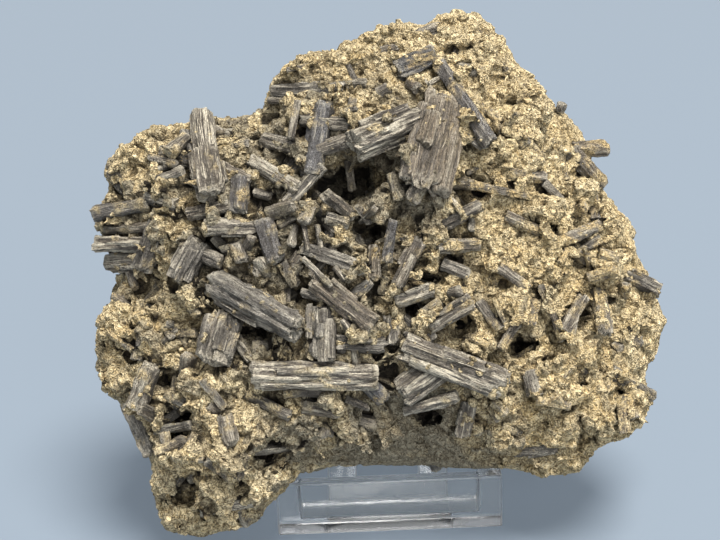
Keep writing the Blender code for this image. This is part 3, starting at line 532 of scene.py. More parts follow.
def shrink_cores(points):
    """Pulls the crust's rough crystals in, so that they stay inside the modelled ones."""
    points = points.copy()
    for _, root, tip, width, _ in crystal_axes():
        axis = tip - root
        length = np.linalg.norm(axis)
        axis = axis / length
        offset = points - root
        along = offset @ axis
        near = (along > -0.1 * width) & (along < length + 0.25 * width)
        foot = root + np.clip(along, 0, length - 0.2 * width)[:, None] * axis
        out = points - foot
        distance = np.linalg.norm(out, axis=1)
        keep = np.clip((distance / width - 0.5) / 0.25, 0, 1)
        inside = near & (keep < 1)
        points[inside] = foot[inside] + out[inside] * (0.55 + 0.45 * keep[inside])[:, None]
    return points


def surface_spots(mesh, count, luck):
    """Random points of a mesh's surface, with its normals there."""
    areas = read_all(mesh.polygons, "area", 1)[:, 0]
    picked = luck.choice(len(areas), count, p=areas / areas.sum())
    corners = np.array([mesh.polygons[k].vertices[:3] for k in picked.tolist()])
    mix = luck.dirichlet((1, 1, 1), count)
    return np.einsum("ij,ijk->ik", mix, read_points(mesh)[corners]), read_all(mesh.polygons, "normal")[picked]


def spots_on(hosts, counts, luck):
    """Random points of several pieces' surfaces, with their normals there."""
    found = [surface_spots(host.data, count, luck) for host, count in zip(hosts, counts)]
    return [np.concatenate(parts) for parts in zip(*found)]


def unit_shape(kind, luck):
    """A primitive with its corners pushed about: points and faces of a lump or a six-sided lath."""
    deselect_all()
    if kind == "lump":
        bpy.ops.mesh.primitive_ico_sphere_add(subdivisions=1, radius=0.5)
    else:
        bpy.ops.mesh.primitive_cylinder_add(vertices=6, radius=0.5, depth=1.0)
    shape = bpy.context.object
    points = read_points(shape.data)
    points = points * luck.uniform(0.78, 1.2, (len(points), 1)) + luck.uniform(-0.05, 0.05, points.shape)
    faces = [tuple(p.vertices) for p in shape.data.polygons]
    mesh = shape.data
    bpy.data.objects.remove(shape)
    bpy.data.meshes.remove(mesh)
    return points, faces


def copies(name, shapes, kinds, spots, across, along, through, sizes):
    """One mesh of many copies: each shape's x, y and z run along its own three directions and sizes."""
    parts = []
    for k, kind in enumerate(kinds):
        corners, polygons = shapes[kind]
        turn = np.array((across[k] * sizes[k][0], through[k] * sizes[k][1], along[k] * sizes[k][2]))
        parts.append(((corners @ turn + spots[k]).tolist(), polygons))
    return new_object(name, new_mesh(name, *stacked(parts)))


def lie_along(spots, normals, luck, tilt):
    """Directions for things lying in a surface: along it, with a little tilt, across it and out of it.

    Neighbours lie much the same way, because the direction drifts slowly over the face.
    """
    drift = noise_at(spots, TURN_SIZE, 4.0) * np.pi * 1.3 - 0.35
    turn = drift + luck.normal(0, 0.45, len(spots))
    along = np.cos(turn)[:, None] * RIGHT + np.sin(turn)[:, None] * UP + luck.normal(0, 0.3, normals.shape)
    along -= normals * np.einsum("ij,ij->i", along, normals)[:, None] * (1 - tilt)
    along = unit(along)
    across = unit(np.cross(along, normals))
    return along, across, np.cross(along, across)


def easel_tree():
    """The easel's solids, for finding how far things are from them."""
    solids = [mesh_polygons(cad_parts[node].data) for node in ("stand_tray", "stand_back")]
    return BVHTree.FromPolygons(*stacked(solids))


def easel_room(points, far):
    """How far each point is from the easel, in metres, or far where it is farther than that."""
    tree = easel_tree()
    found = [tree.find_nearest(spot, far)[3] for spot in points.tolist()]
    return np.array([far if distance is None else distance for distance in found])


def crusted_growths(host, settings, luck, with_lumps):
    """The laths and lumps under the crust, lying in the host's surface and clear of the easel."""
    shapes = [unit_shape(kind, luck) for kind in ("lath", "lump") for _ in range(GROWTH_SHAPES)]
    count = settings.lath_count + settings.lump_count
    spots, normals = surface_spots(host.data, count, luck)
    along, across, through = lie_along(spots, normals, luck, 0.35)
    is_lath = np.arange(count) < settings.lath_count
    laths, lumps = (0, GROWTH_SHAPES), (GROWTH_SHAPES, 2 * GROWTH_SHAPES)
    kinds = np.where(is_lath, luck.integers(*laths, count), luck.integers(*lumps, count))
    width = np.where(is_lath, luck.uniform(*LATH_WIDTHS, count), luck.uniform(*LUMP_WIDTHS, count)) * MM
    length = np.where(is_lath, luck.uniform(*LATH_LENGTHS, count) * MM, width)
    sizes = np.stack((width, width * luck.uniform(0.5, 0.9, count), length), axis=-1)
    spots = spots + normals * (width * luck.uniform(-0.5, 0.05, count))[:, None]
    clear = easel_room(spots, EASEL_REACH * MM) > length * 0.55 + 2 * EASEL_CLEAR * MM
    parts = [part[clear] for part in (kinds, spots, across, along, through, sizes)]
    if with_lumps:
        u, v, radius, lift = np.array([(*spot, *rest) for spot, *rest in LUMPS]).T
        middles = place(u, v, front_depth(u, v) + lift - 0.6 * radius)
        axes = [np.tile(axis, (len(u), 1)) for axis in (RIGHT, UP, OUT)]
        spans = 2 * radius[:, None] * luck.uniform(0.85, 1.15, (len(u), 3)) * MM
        named = (luck.integers(*lumps, len(u)), middles, *axes, spans)
        parts = [np.concatenate(pair) for pair in zip(parts, named)]
    return copies("growths", shapes, *parts)


def open_gaps(points, depth_limit):
    """Pushes the crust in at the gaps, no deeper than the limit."""
    u, v, w = layout_of(points)
    pushed = w.copy()
    for spot, radius, depth in GAPS:
        pushed -= depth * np.exp(-(far_off(u, v, spot, radius) ** 2))
    pushed = np.where(w > depth_limit, np.maximum(pushed, depth_limit), w)
    return points + (pushed - w)[:, None] * OUT * MM


def in_gap(points):
    """Whether each point lies in one of the gaps."""
    u, v, _ = layout_of(points)
    found = np.zeros(len(points), bool)
    for spot, radius, _ in GAPS:
        found |= far_off(u, v, spot, radius) < 1
    return found


def tuck_in(points):
    """Draws what stands past the outline back towards it."""
    u, v, w = layout_of(points)
    share = rim_share(u, v)
    draw = np.where(share > 1, (1 + 0.3 * (share - 1)) / share, 1)
    u = OUTLINE_MIDDLE[0] + (u - OUTLINE_MIDDLE[0]) * draw
    v = OUTLINE_MIDDLE[1] + (v - OUTLINE_MIDDLE[1]) * draw
    return place(u, v, w)


def thickness_under(mesh, points, normals, far):
    """How thick the solid is under each vertex, in millimetres, or far where it is thicker."""
    tree = BVHTree.FromPolygons(*mesh_polygons(mesh))
    starts = (points - normals * 0.05 * MM).tolist()
    found = [tree.ray_cast(spot, inwards, far * MM)[3] for spot, inwards in zip(starts, (-normals).tolist())]
    return np.array([far if distance is None else distance / MM for distance in found])


def roughen(thing, settings, calm):
    """Works the crust's relief into a mesh along its normals: lumps, pebbles, grains and pits."""
    mesh = thing.data
    points = read_points(mesh)
    normals = read_normals(mesh)
    u, _, _ = layout_of(points)
    height = np.zeros(len(points))
    split = 0.3 + 0.7 * np.clip((12 - u) / 30, 0, 1)  # the clefts are deeper on the left
    for size, relief, cleft_depth, shift in (
        (LUMP_SIZE, settings.lump_relief / MM, LUMP_CLEFT, 0.0),
        (PEBBLE_SIZE, settings.pebble_relief / MM, PEBBLE_CLEFT, 31.7),
    ):
        cleft, lift = blocks_at(points, size, shift)
        height += relief * 0.6 * lift - cleft_depth * split * cleft**1.5
    grains = 0.5 - cells_at(points, GRAIN_SIZE, 7.9)
    height += settings.grain_relief / MM * grains + DIMPLE_DEPTH * noise_at(points, DIMPLE_SIZE, 11.1)
    pits = noise_at(points, PIT_SIZE, 57.0)
    height -= PIT_DEPTH * np.clip(pits - 0.36, 0, 1) / 0.3
    room = easel_room(points, 3 * MM) / MM
    height = height * calm * np.clip((room - 0.5) / 1.5, 0, 1)
    height = np.minimum(height, np.maximum(room - EASEL_CLEAR, 0))
    height = np.maximum(height, -0.4 * thickness_under(mesh, points, normals, 5.0))
    write_points(mesh, points + normals * height[:, None] * MM)


def zone_shades(points):
    """How ochre, grey and pale the crust is at points: three rows."""
    u, v, _ = layout_of(points)
    weight = np.full(len(points), 1e-9)
    sums = np.zeros((3, len(points)))
    wander_u, wander_v = 5 * noise_at(points, 7, 1.0), 5 * noise_at(points, 7, 2.0)
    for spot, radius, *shades in CRUST_ZONES:
        near = np.exp(-far_off(u + wander_u, v + wander_v, spot, radius)) + 1e-6
        weight += near
        sums += near * np.array(shades)[:, None]
    return sums / weight


def mark_zones(mesh):
    for name, values in zip(("ochre", "grey", "pale"), zone_shades(read_points(mesh))):
        store(mesh, name, values)


def mark_cavities(pieces, settings):
    """Stores how shut in each vertex is among the pieces, from 0 in the open to 1, which the materials paint as
    shade.
    """
    tree = BVHTree.FromPolygons(*stacked(mesh_polygons(piece.data) for piece in pieces))
    luck = np.random.default_rng(SEEDS["cavities"])
    reach = settings.cavity_reach
    for piece in pieces:
        spots, normals = read_points(piece.data), read_normals(piece.data)
        rays = unit(luck.normal(0, 1, (CAVITY_RAYS, len(spots), 3))) + normals * 1.05
        starts = (spots + normals * 0.12 * MM).tolist()
        shut = np.zeros(len(spots))
        for turn in rays:
            cast = [tree.ray_cast(spot, ray, reach)[3] for spot, ray in zip(starts, turn.tolist())]
            shut += [0 if distance is None else 1 - 0.5 * distance / reach for distance in cast]
        # Places sunk far below the face's crust count as shut in, wherever their rays lead, and get painted
        # shade.
        u, v, w = layout_of(spots)
        inland = (w > CAVE_LIMIT) * np.clip((0.85 - rim_share(u, v)) / 0.1, 0, 1)
        sunk = np.clip((front_depth(u, v) - w - 5) / 8, 0, 1) * inland
        store(piece.data, "cavity", relax(piece.data, shut / CAVITY_RAYS + 0.45 * sunk, 2)[:, 0])


def build_crust(settings, depth, side, voxel):
    """One side of the matrix, from the cut at that depth outwards, with its relief."""
    is_face = side == "face"
    made = merged_copy("aragonite", "crust")
    cut_away(made, FACE_MIDDLE + OUT * depth * MM, OUT if is_face else -OUT)
    growths = crusted_growths(made, settings, np.random.default_rng(SEEDS[side]), is_face)
    activate(made)
    growths.select_set(True)
    bpy.ops.object.join()
    write_points(made.data, tuck_in(read_points(made.data)))
    remesh = made.modifiers.new("grain", "REMESH")
    remesh.mode = "VOXEL"
    remesh.voxel_size = voxel
    apply_modifiers(made)
    points = shrink_cores(read_points(made.data))
    write_points(made.data, open_gaps(points, depth + 1) if is_face else points)
    points = read_points(made.data)
    u, v, w = layout_of(points)
    # The relief is lower on the foot's underside, behind the tray, and on the named lumps.
    calm = 1 - 0.6 * np.clip((w + 9) / -4, 0, 1) * np.clip((FOOT_TOP - v) / 3, 0, 1)
    for spot, radius, _ in LUMPS:
        calm *= 1 - 0.5 * np.exp(-(far_off(u, v, spot, radius) ** 2))
    past_cut = w - depth if is_face else depth - w
    roughen(made, settings, calm * np.clip((past_cut - 0.6) / 1.5, 0, 1))
    return made


def thin_out(thing, budget):
    """Takes the triangles of the flattest places away, down to the budget."""
    triangles = sum(len(polygon.vertices) - 2 for polygon in thing.data.polygons)
    thin = thing.modifiers.new("thin", "DECIMATE")
    thin.ratio = min(budget / triangles, 1.0)
    apply_modifiers(thing)


def finish_crust(thing, name):
    """Names a piece of the crust and stores what its material reads."""
    thing.name = thing.data.name = name
    # The bulge, from which the material paints highlight on bumps and shade in hollows.
    store(thing.data, "raised", bulge(thing.data, 3))
    mark_zones(thing.data)


# ---------------------------------------------------------------- crystals


def crystal_frame(root, tip, luck):
    """A crystal's length and its directions: along it, and two across it at a random turn."""
    axis = tip - root
    length = np.linalg.norm(axis)
    axis = axis / length
    side = np.cross(axis, OUT)
    side = side if np.linalg.norm(side) > 0.2 else np.cross(axis, UP)
    side = side / np.linalg.norm(side)
    proud = np.cross(axis, side)
    turn = luck.uniform(-0.3, 0.3)
    cos, sin = np.cos(turn), np.sin(turn)
    return length, axis, side * cos + proud * sin, proud * cos - side * sin


def ring_faces(count, around):
    """Faces of a row of rings, and of the hub after them that closes each end."""
    grid = np.arange(count * around).reshape(count, around)
    nearby = np.roll(grid, -1, axis=1)
    faces = np.stack((grid[:-1], nearby[:-1], nearby[1:], grid[1:]), axis=-1).reshape(-1, 4).tolist()
    faces += [(count * around, b, a) for a, b in zip(grid[0].tolist(), nearby[0].tolist())]
    return faces + [(count * around + 1, a, b) for a, b in zip(grid[-1].tolist(), nearby[-1].tolist())]


def crystal_relief(points, stretched, width, drift, dust, ragged):
    """A crystal's flutes, chips and patches of crust, and how far they swell its skin, in millimetres."""
    flutes = 1.2 * noise_at(stretched, 0.85, drift) + 0.7 * noise_at(stretched, 2.0, drift + 3)
    coat = noise_at(points, 3.4, drift) + noise_at(points, 1.1, drift) * 0.45 + (dust - 0.55) * 1.3
    coat = np.clip(coat * 4, 0, 1)
    swell = 0.05 * width / MM * noise_at(points, 3.8, drift + 9) + 0.1 * noise_at(points, 0.9, drift + 20)
    chips = np.minimum(noise_at(points, 1.3, drift + 30) + 0.15, 0)
    swell += (flutes * (1 - 0.4 * coat) + chips) * np.clip(5 * ragged, 0.05, 1)
    swell += coat * (0.12 + 0.3 * noise_at(points, 0.75, drift + 5))
    return flutes, chips, coat, swell


def crystal_skin(root, tip, width, thickness, luck, ragged, dust, fine=1.0):
    """A fluted crystal: its points, faces, and what its material reads.

    Its sides are laths with their own radius, breaks and ends, fluted along, with crust on them in patches.
    """
    length, axis, side, proud = crystal_frame(root, tip, luck)
    step = CRYSTAL_STEP * MM / fine
    around = int(np.clip((width + thickness) * 1.45 / step, *POINTS_AROUND))
    along = int(np.clip(length / step / 2.2, *ROWS_ALONG))
    angles = np.arange(around) / around * 2 * np.pi
    phase = luck.uniform(0, np.pi / 3)
    hexagon = np.cos(np.pi / 6) / np.cos((angles + phase) % (np.pi / 3) - np.pi / 6)
    laths = int(np.clip(around / 4, 4, 16))
    edges = np.sort(luck.uniform(0, 2 * np.pi, laths))
    lath = np.searchsorted(edges, angles) % laths
    radius = hexagon * (1 + luck.uniform(-1, 0.4, laths)[lath] * ragged)
    end_trim = luck.uniform(0, 1, laths)[lath] ** 1.6 * width * (0.15 + 3 * ragged)
    root_trim = luck.uniform(0, 1, laths)[lath] ** 1.6 * width * (0.15 + 2 * ragged)
    taper = luck.uniform(0.85, 1.05)

    shares = np.linspace(0, 1, along + 1)[:, None]
    runs = luck.uniform(*LATH_RUNS, laths)[lath] * MM
    shifts = luck.uniform(0, RUN_SHIFT, laths)[lath] * MM
    break_row = ((shares * length + shifts) / runs).astype(int) % LATH_BREAKS
    breaks = luck.uniform(-1.6, 0.5, (laths, LATH_BREAKS))[lath[None, :], break_row] * ragged
    rows = radius * (taper + (1 - taper) * shares) + breaks
    heights = root_trim * (1 - shares) ** 2 + shares * length - end_trim * shares**2
    for inner in END_RINGS:
        jag = luck.uniform(-1, 1, laths)[lath] * width * (0.02 + 0.9 * ragged)
        rows = np.vstack((radius * inner, rows, radius * inner))
        heights = np.vstack((root_trim * inner * 0.6 + jag, heights, length - end_trim * inner * 0.6 + jag))
    across = rows * np.cos(angles) * width / 2
    through = rows * np.sin(angles) * thickness / 2
    out = across[..., None] * side + through[..., None] * proud
    points = (root + out + heights[..., None] * axis).reshape(-1, 3)
    out = unit(out.reshape(-1, 3))
    stretched = np.stack((across.ravel(), through.ravel(), heights.ravel() / 12), axis=-1)
    flutes, chips, coat, swell = crystal_relief(points, stretched, width, luck.uniform(0, 90), dust, ragged)
    points = points + out * swell[:, None] * MM

    hubs = np.array((points[:around].mean(axis=0), points[-around:].mean(axis=0)))
    marks = np.stack((np.broadcast_to(angles * width / 2, rows.shape), heights), axis=-1).reshape(-1, 2)
    ends = np.minimum(heights, length - heights).ravel() / width
    unbroken = np.zeros((len(END_RINGS), around))
    breaks = np.vstack((unbroken, breaks, unbroken)).ravel()
    # The relief as a tone for the material: painted highlight on ridges, painted shade in grooves, chips and
    # sunk laths, and a random tone of each skin.
    ridge = flutes * 1.1 + chips + breaks / max(ragged, 1e-3) * 0.25 + luck.uniform(-0.3, 0.3)
    return {
        "points": np.concatenate((points, hubs)),
        "faces": ring_faces(len(rows), around),
        "marks": np.concatenate((marks, ((0, 0), (0, length)))),
        "ridge": np.append(ridge, (0, 0)),
        "end": np.append(np.clip(1 - ends * 2.2, 0, 1), (1, 1)),
        "coat": np.append(coat, (0, 0)),
    }


def bundle(root, tip, width, thickness, luck, dust, glassy):
    """A wide crystal as several grown side by side, or one skin if it is narrow or glassy."""
    ragged = RAGGED_GLASSY if glassy else RAGGED
    if glassy or width < BUNDLE_WIDTH * MM:
        return [crystal_skin(root, tip, width, thickness, luck, ragged, dust)]
    axis = (tip - root) / np.linalg.norm(tip - root)
    side = np.cross(axis, OUT)
    side = side / max(np.linalg.norm(side), 1e-6)
    proud = np.cross(side, axis)
    skins = [crystal_skin(root, tip, width * 0.88, thickness * 0.92, luck, ragged, dust)]
    for _ in range(int(width / MM * 0.6)):
        angle = luck.uniform(0, 2 * np.pi)
        share = luck.uniform(0.22, 0.46)
        aside = side * np.cos(angle) * width * (0.49 - share / 2)
        aside = aside + proud * np.sin(angle) * thickness * (0.5 - share / 2)
        start, stop = luck.uniform(-0.04, 0.4), luck.uniform(0.6, 1.04)
        ends = [root + (tip - root) * along + aside for along in (start, stop)]
        girth = width * share
        skins.append(crystal_skin(*ends, girth, girth * luck.uniform(0.6, 1), luck, ragged, dust, 0.8))
    return skins


def gather(name, skins, tints):
    """Joins crystal skins into one mesh, with each one's marks and tints for its material."""
    mesh = new_mesh(name, *stacked((skin["points"].tolist(), skin["faces"]) for skin in skins))
    marks = [skin["marks"] + np.array((0.037, 0.053)) * number for number, skin in enumerate(skins)]
    corners = np.empty(len(mesh.loops), np.int64)
    mesh.loops.foreach_get("vertex_index", corners)
    mesh.uv_layers.new(name="grain").data.foreach_set("uv", np.concatenate(marks)[corners].ravel())
    shades = np.concatenate([np.tile(tint, (len(skin["points"]), 1)) for skin, tint in zip(skins, tints)])
    for label, values in zip(("brown", "pale", "gloss"), shades.T):
        store(mesh, label, values)
    for label in ("ridge", "end", "coat"):
        store(mesh, label, np.concatenate([skin[label] for skin in skins]))
    return new_object(name, mesh)


def build_named_crystals():
    """The crystals of the table, each a bundle with its own tint and patches of crust."""
    luck = np.random.default_rng(SEEDS["crystals"])
    skins, tints = [], []
    for name, root, tip, width, thickness in crystal_axes():
        glassy = name in GLASSY
        brown, pale = CRYSTAL_TINTS.get(name, (luck.uniform(0.1, 0.6), luck.uniform(0.2, 0.6)))
        crusted = np.clip((layout_of(root)[0] - 16) / 30, 0, 1)
        dust = luck.uniform(0.3, 0.5) if glassy else luck.uniform(0.1, 0.45) + 0.3 * crusted
        for skin in bundle(root, tip, width, thickness, luck, dust, glassy):
            skins.append(skin)
            shift = luck.uniform(-0.2, 0.2, 2)
            tints.append((brown + shift[0], pale + shift[1], 1.0 if glassy else luck.uniform(0, 0.35)))
    return gather("aragonite_crystals", skins, tints)


def off_crystals(points):
    """Whether each point lies beside the named crystals, as seen from the front."""
    u, v, _ = layout_of(points)
    found = np.ones(len(points), bool)
    for _, (au, av), _, (bu, bv), _, width, _ in PRISMS:
        du, dv = bu - au, bv - av
        along = np.clip(((u - au) * du + (v - av) * dv) / (du * du + dv * dv), 0, 1)
        found &= np.hypot(u - au - along * du, v - av - along * dv) > 0.42 * width + 0.6
    return found


def build_slivers(settings, crusts):
    """Small crystals lying in the crust, thickest in the face's middle and left."""
    luck = np.random.default_rng(SEEDS["slivers"])
    spots, normals = spots_on(crusts, (settings.sliver_count,) * len(crusts), luck)
    u, v, w = layout_of(spots)
    at_front = w > FACE_LIMIT
    crowd = 0.22 + 0.78 * np.exp(-(((u + 12) / 34) ** 2 + ((v - 4) / 36) ** 2))
    crowd = np.where(at_front, crowd * ((v > FOOT_TOP) | (u < -22)), 0.3)
    crowd *= (rim_share(u, v) < 0.97) * (easel_room(spots, EASEL_REACH * MM) > 5.5 * MM)
    chosen = (luck.uniform(0, 1, len(spots)) < crowd) & ~in_gap(spots) & (off_crystals(spots) | ~at_front)
    spots, normals = spots[chosen], normals[chosen]
    along, _, _ = lie_along(spots, normals, luck, luck.uniform(0, 0.45, (len(spots), 1)))
    skins, tints = [], []
    for spot, normal, axis in zip(spots, normals, along):
        length, width = luck.uniform(*SLIVER_LENGTHS) * MM, luck.uniform(*SLIVER_WIDTHS) * MM
        middle = spot + normal * luck.uniform(-0.3, 0.15) * width
        half = axis * length / 2
        crusted = np.clip((layout_of(spot)[0] - 10) / 25, 0, 1)
        dust = luck.uniform(0.35, 0.85) + 0.35 * crusted
        flat = width * luck.uniform(0.5, 1)
        skins.append(crystal_skin(middle - half, middle + half, width, flat, luck, RAGGED, dust, 0.72))
        tints.append((luck.uniform(0.1, 0.8), luck.uniform(0.2, 0.9), luck.uniform(0, 0.4)))
    return gather("aragonite_slivers", skins, tints)


# ---------------------------------------------------------------- crumbs


def build_crumbs(name, hosts, counts, luck):
    """Angular crumbs and splinters lying on the hosts' surfaces, as one mesh, each with its own tone."""
    shapes = [unit_shape("lump", luck) for _ in range(CRUMB_SHAPES)]
    spots, normals = spots_on(hosts, counts, luck)
    clear = (easel_room(spots, 3 * MM) > 1.6 * MM) & ~in_gap(spots)
    spots, normals = spots[clear], normals[clear]
    count = len(spots)
    along, across, through = lie_along(spots, normals, luck, 0.6)
    size = (CRUMB_LEAST + CRUMB_MORE * luck.uniform(0, 1, count) ** 2.6) * MM
    splinter = luck.uniform(0, 1, count) < SPLINTER_SHARE
    wide = size * np.where(splinter, 0.55, 1)
    thick = size * luck.uniform(0.5, 1, count) * np.where(splinter, 0.6, 1)
    long = size * np.where(splinter, luck.uniform(1.6, 3.2, count), 1.1)
    spots = spots - normals * (size * 0.1)[:, None]
    kinds = luck.integers(0, len(shapes), count)
    made = copies(name, shapes, kinds, spots, across, along, through, np.stack((wide, thick, long), axis=-1))
    each = np.repeat(np.arange(count), len(shapes[0][0]))
    store(made.data, "raised", luck.uniform(-0.2, 0.3, count)[each])
    mark_zones(made.data)
    return made


# ---------------------------------------------------------------- materials


class Nodes:
    """A node tree, with short ways to add its usual nodes."""

    def __init__(self, tree):
        self.nodes = tree.nodes
        self.links = tree.links

    def new(self, kind):
        return self.nodes.new("ShaderNode" + kind)

    def put(self, socket, value):
        """Links a socket to a node's output, or gives it a plain number or colour."""
        if isinstance(value, bpy.types.NodeSocket):
            self.links.new(value, socket)
        elif isinstance(value, (int, float)):
            socket.default_value = value
        else:
            socket.default_value = (*value, 1)

    def attribute(self, name):
        node = self.new("Attribute")
        node.attribute_name = name
        return node.outputs["Fac"]

    def cloud(self, vector, scale, detail=3.0, roughness=0.65):
        """Noise round 0.5."""
        node = self.new("TexNoise")
        sockets = {"Vector": vector, "Scale": scale, "Detail": detail, "Roughness": roughness}
        for name, value in sockets.items():
            self.put(node.inputs[name], value)
        return node.outputs["Fac"]

    def mapped(self, vector, scale):
        node = self.new("Mapping")
        self.put(node.inputs["Vector"], vector)
        node.inputs["Scale"].default_value = scale
        return node.outputs[0]

    def grains(self, vector, scale):
        """Cells of random colour: its first two channels."""
        node = self.new("TexVoronoi")
        self.put(node.inputs["Vector"], vector)
        self.put(node.inputs["Scale"], scale)
        split = self.new("SeparateColor")
        self.put(split.inputs[0], node.outputs["Color"])
        return split.outputs[0], split.outputs[1]

    def stretch(self, value, low, high, to_low=0.0, to_high=1.0):
        node = self.new("MapRange")
        sockets = {"Value": value, "From Min": low, "From Max": high, "To Min": to_low, "To Max": to_high}
        for name, number in sockets.items():
            self.put(node.inputs[name], number)
        return node.outputs["Result"]

    def maths(self, operation, first, second=0.0):
        node = self.new("Math")
        node.operation = operation
        self.put(node.inputs[0], first)
        self.put(node.inputs[1], second)
        return node.outputs[0]

    def add(self, first, *others):
        for other in others:
            first = self.maths("ADD", first, other)
        return first

    def times(self, first, second):
        return self.maths("MULTIPLY", first, second)

    def larger(self, first, *others):
        for other in others:
            first = self.maths("MAXIMUM", first, other)
        return first

    def vein(self, cloud):
        """How far noise is from its middle, which is 0 along winding lines."""
        return self.maths("ABSOLUTE", self.maths("SUBTRACT", cloud, 0.5))

    def blend(self, amount, first, second):
        node = self.new("Mix")
        node.data_type = "RGBA"
        self.put(node.inputs[0], amount)
        self.put(node.inputs[6], first)
        self.put(node.inputs[7], second)
        return node.outputs[2]

    def bump(self, height, distance, before=None):
        node = self.new("Bump")
        self.put(node.inputs["Distance"], distance)
        self.put(node.inputs["Height"], height)
        if before is not None:
            self.put(node.inputs["Normal"], before)
        return node.outputs["Normal"]


class Material(Nodes):
    """A new material with its node helpers and its shader."""

    def __init__(self, name):
        self.material = bpy.data.materials.new(name)
        self.material.use_nodes = True
        super().__init__(self.material.node_tree)

    def finish(self, **sockets):
        """Gives the shader's sockets their values, each named with _ for a space."""
        shader = self.nodes["Principled BSDF"].inputs
        for name, value in sockets.items():
            self.put(shader[name.replace("_", " ")], value)
        return self.material

    def place(self):
        return self.new("TexCoord").outputs["Object"]

    def crust(self, settings):
        """The crust's colour and height, from its shared group, with this stone's colours."""
        node = self.new("Group")
        node.node_tree = crust_group()
        self.put(node.inputs["Place"], self.place())
        for label in ("ochre", "grey", "pale", "raised", "cavity"):
            self.put(node.inputs[label.capitalize()], self.attribute(label))
        for label in ("cream", "tan", "ochre", "grey", "dirt", "deep"):
            self.put(node.inputs[label.capitalize() + " Colour"], tuple(getattr(settings, label)))
        return node.outputs["Colour"], node.outputs["Height"]


def crust_group():
    """Shader group of the granular crust, which the matrix, the crumbs and the dusted crystals share, with
    painted highlight on raised bumps and painted shade in hollows and shut-in places.
    """
    group = bpy.data.node_groups.get("crust")
    if group:
        return group
    group = bpy.data.node_groups.new("crust", "ShaderNodeTree")
    sockets = [("Place", "INPUT", "NodeSocketVector")]
    sockets += [(name, "INPUT", "NodeSocketFloat") for name in ("Ochre", "Grey", "Pale", "Raised", "Cavity")]
    colours = ("Cream", "Tan", "Ochre", "Grey", "Dirt", "Deep")
    sockets += [(name + " Colour", "INPUT", "NodeSocketColor") for name in colours]
    sockets += [("Colour", "OUTPUT", "NodeSocketColor"), ("Height", "OUTPUT", "NodeSocketFloat")]
    for name, side, kind in sockets:
        group.interface.new_socket(name, in_out=side, socket_type=kind)
    nodes = Nodes(group)
    given = nodes.nodes.new("NodeGroupInput").outputs
    spot = given["Place"]
    curl = nodes.new("TexNoise")
    nodes.put(curl.inputs["Scale"], 420)
    nodes.put(curl.inputs["Vector"], spot)
    bend = nodes.new("VectorMath")
    bend.operation = "MULTIPLY_ADD"
    bend.inputs[1].default_value = (2.6 * MM,) * 3
    nodes.put(bend.inputs[0], curl.outputs["Color"])
    nodes.put(bend.inputs[2], spot)
    curled = bend.outputs[0]
    broad = nodes.cloud(spot, 150)
    block_tone, block_kind = nodes.grains(spot, 240)
    curds = nodes.add(nodes.cloud(curled, 1150), nodes.times(nodes.cloud(curled, 2300, 2), 0.6))
    stain = nodes.times(given["Ochre"], nodes.stretch(broad, 0.42, 0.56))
    tan = nodes.blend(stain, given["Tan Colour"], given["Ochre Colour"])
    cream = nodes.blend(nodes.times(stain, 0.45), given["Cream Colour"], given["Ochre Colour"])
    veins = nodes.vein(nodes.cloud(curled, 560, 2, 0.75))
    # How light the crust is: its curds, random blocks and pale zones, and a painted highlight on raised bumps.
    light = nodes.add(
        nodes.stretch(curds, 0.72, 0.92, -0.1, 0.7),
        nodes.stretch(given["Raised"], -0.15, 0.3, 0, 0.5),
        nodes.stretch(block_tone, 0, 1, -0.25, 0.25),
        nodes.stretch(given["Pale"], 0, 1, -0.45, 0.35),
    )
    colour = nodes.blend(nodes.stretch(light, 0, 1), tan, cream)
    greyness = nodes.add(given["Grey"], nodes.times(block_kind, 0.5), broad)
    colour = nodes.blend(nodes.stretch(greyness, 0.95, 1.4, 0, 0.85), colour, given["Grey Colour"])
    # Dark pores and cracks, and painted shade in the hollows where the crust's bulge is low.
    pores = nodes.stretch(curds, 0.74, 0.62, 0, 0.8)
    cracks = nodes.stretch(veins, 0.032, 0.006, 0, 0.85)
    low = nodes.stretch(given["Raised"], -0.02, -0.35, 0, 0.7)
    colour = nodes.blend(nodes.larger(cracks, pores, low), colour, given["Dirt Colour"])
    # Painted shade in shut-in places and deep clefts.
    colour = nodes.blend(nodes.stretch(given["Cavity"], 0.4, 0.8, 0, 0.97), colour, given["Deep Colour"])
    out = nodes.nodes.new("NodeGroupOutput").inputs
    nodes.put(out["Colour"], colour)
    nodes.put(out["Height"], nodes.add(curds, nodes.stretch(veins, 0.0, 0.05, -0.15, 0)))
    return group


def crust_material(name, settings):
    made = Material(name)
    colour, height = made.crust(settings)
    relief = made.bump(height, 1.7 * MM)
    return made.finish(Base_Color=colour, Roughness=0.95, Specular_IOR_Level=0.2, Normal=relief)


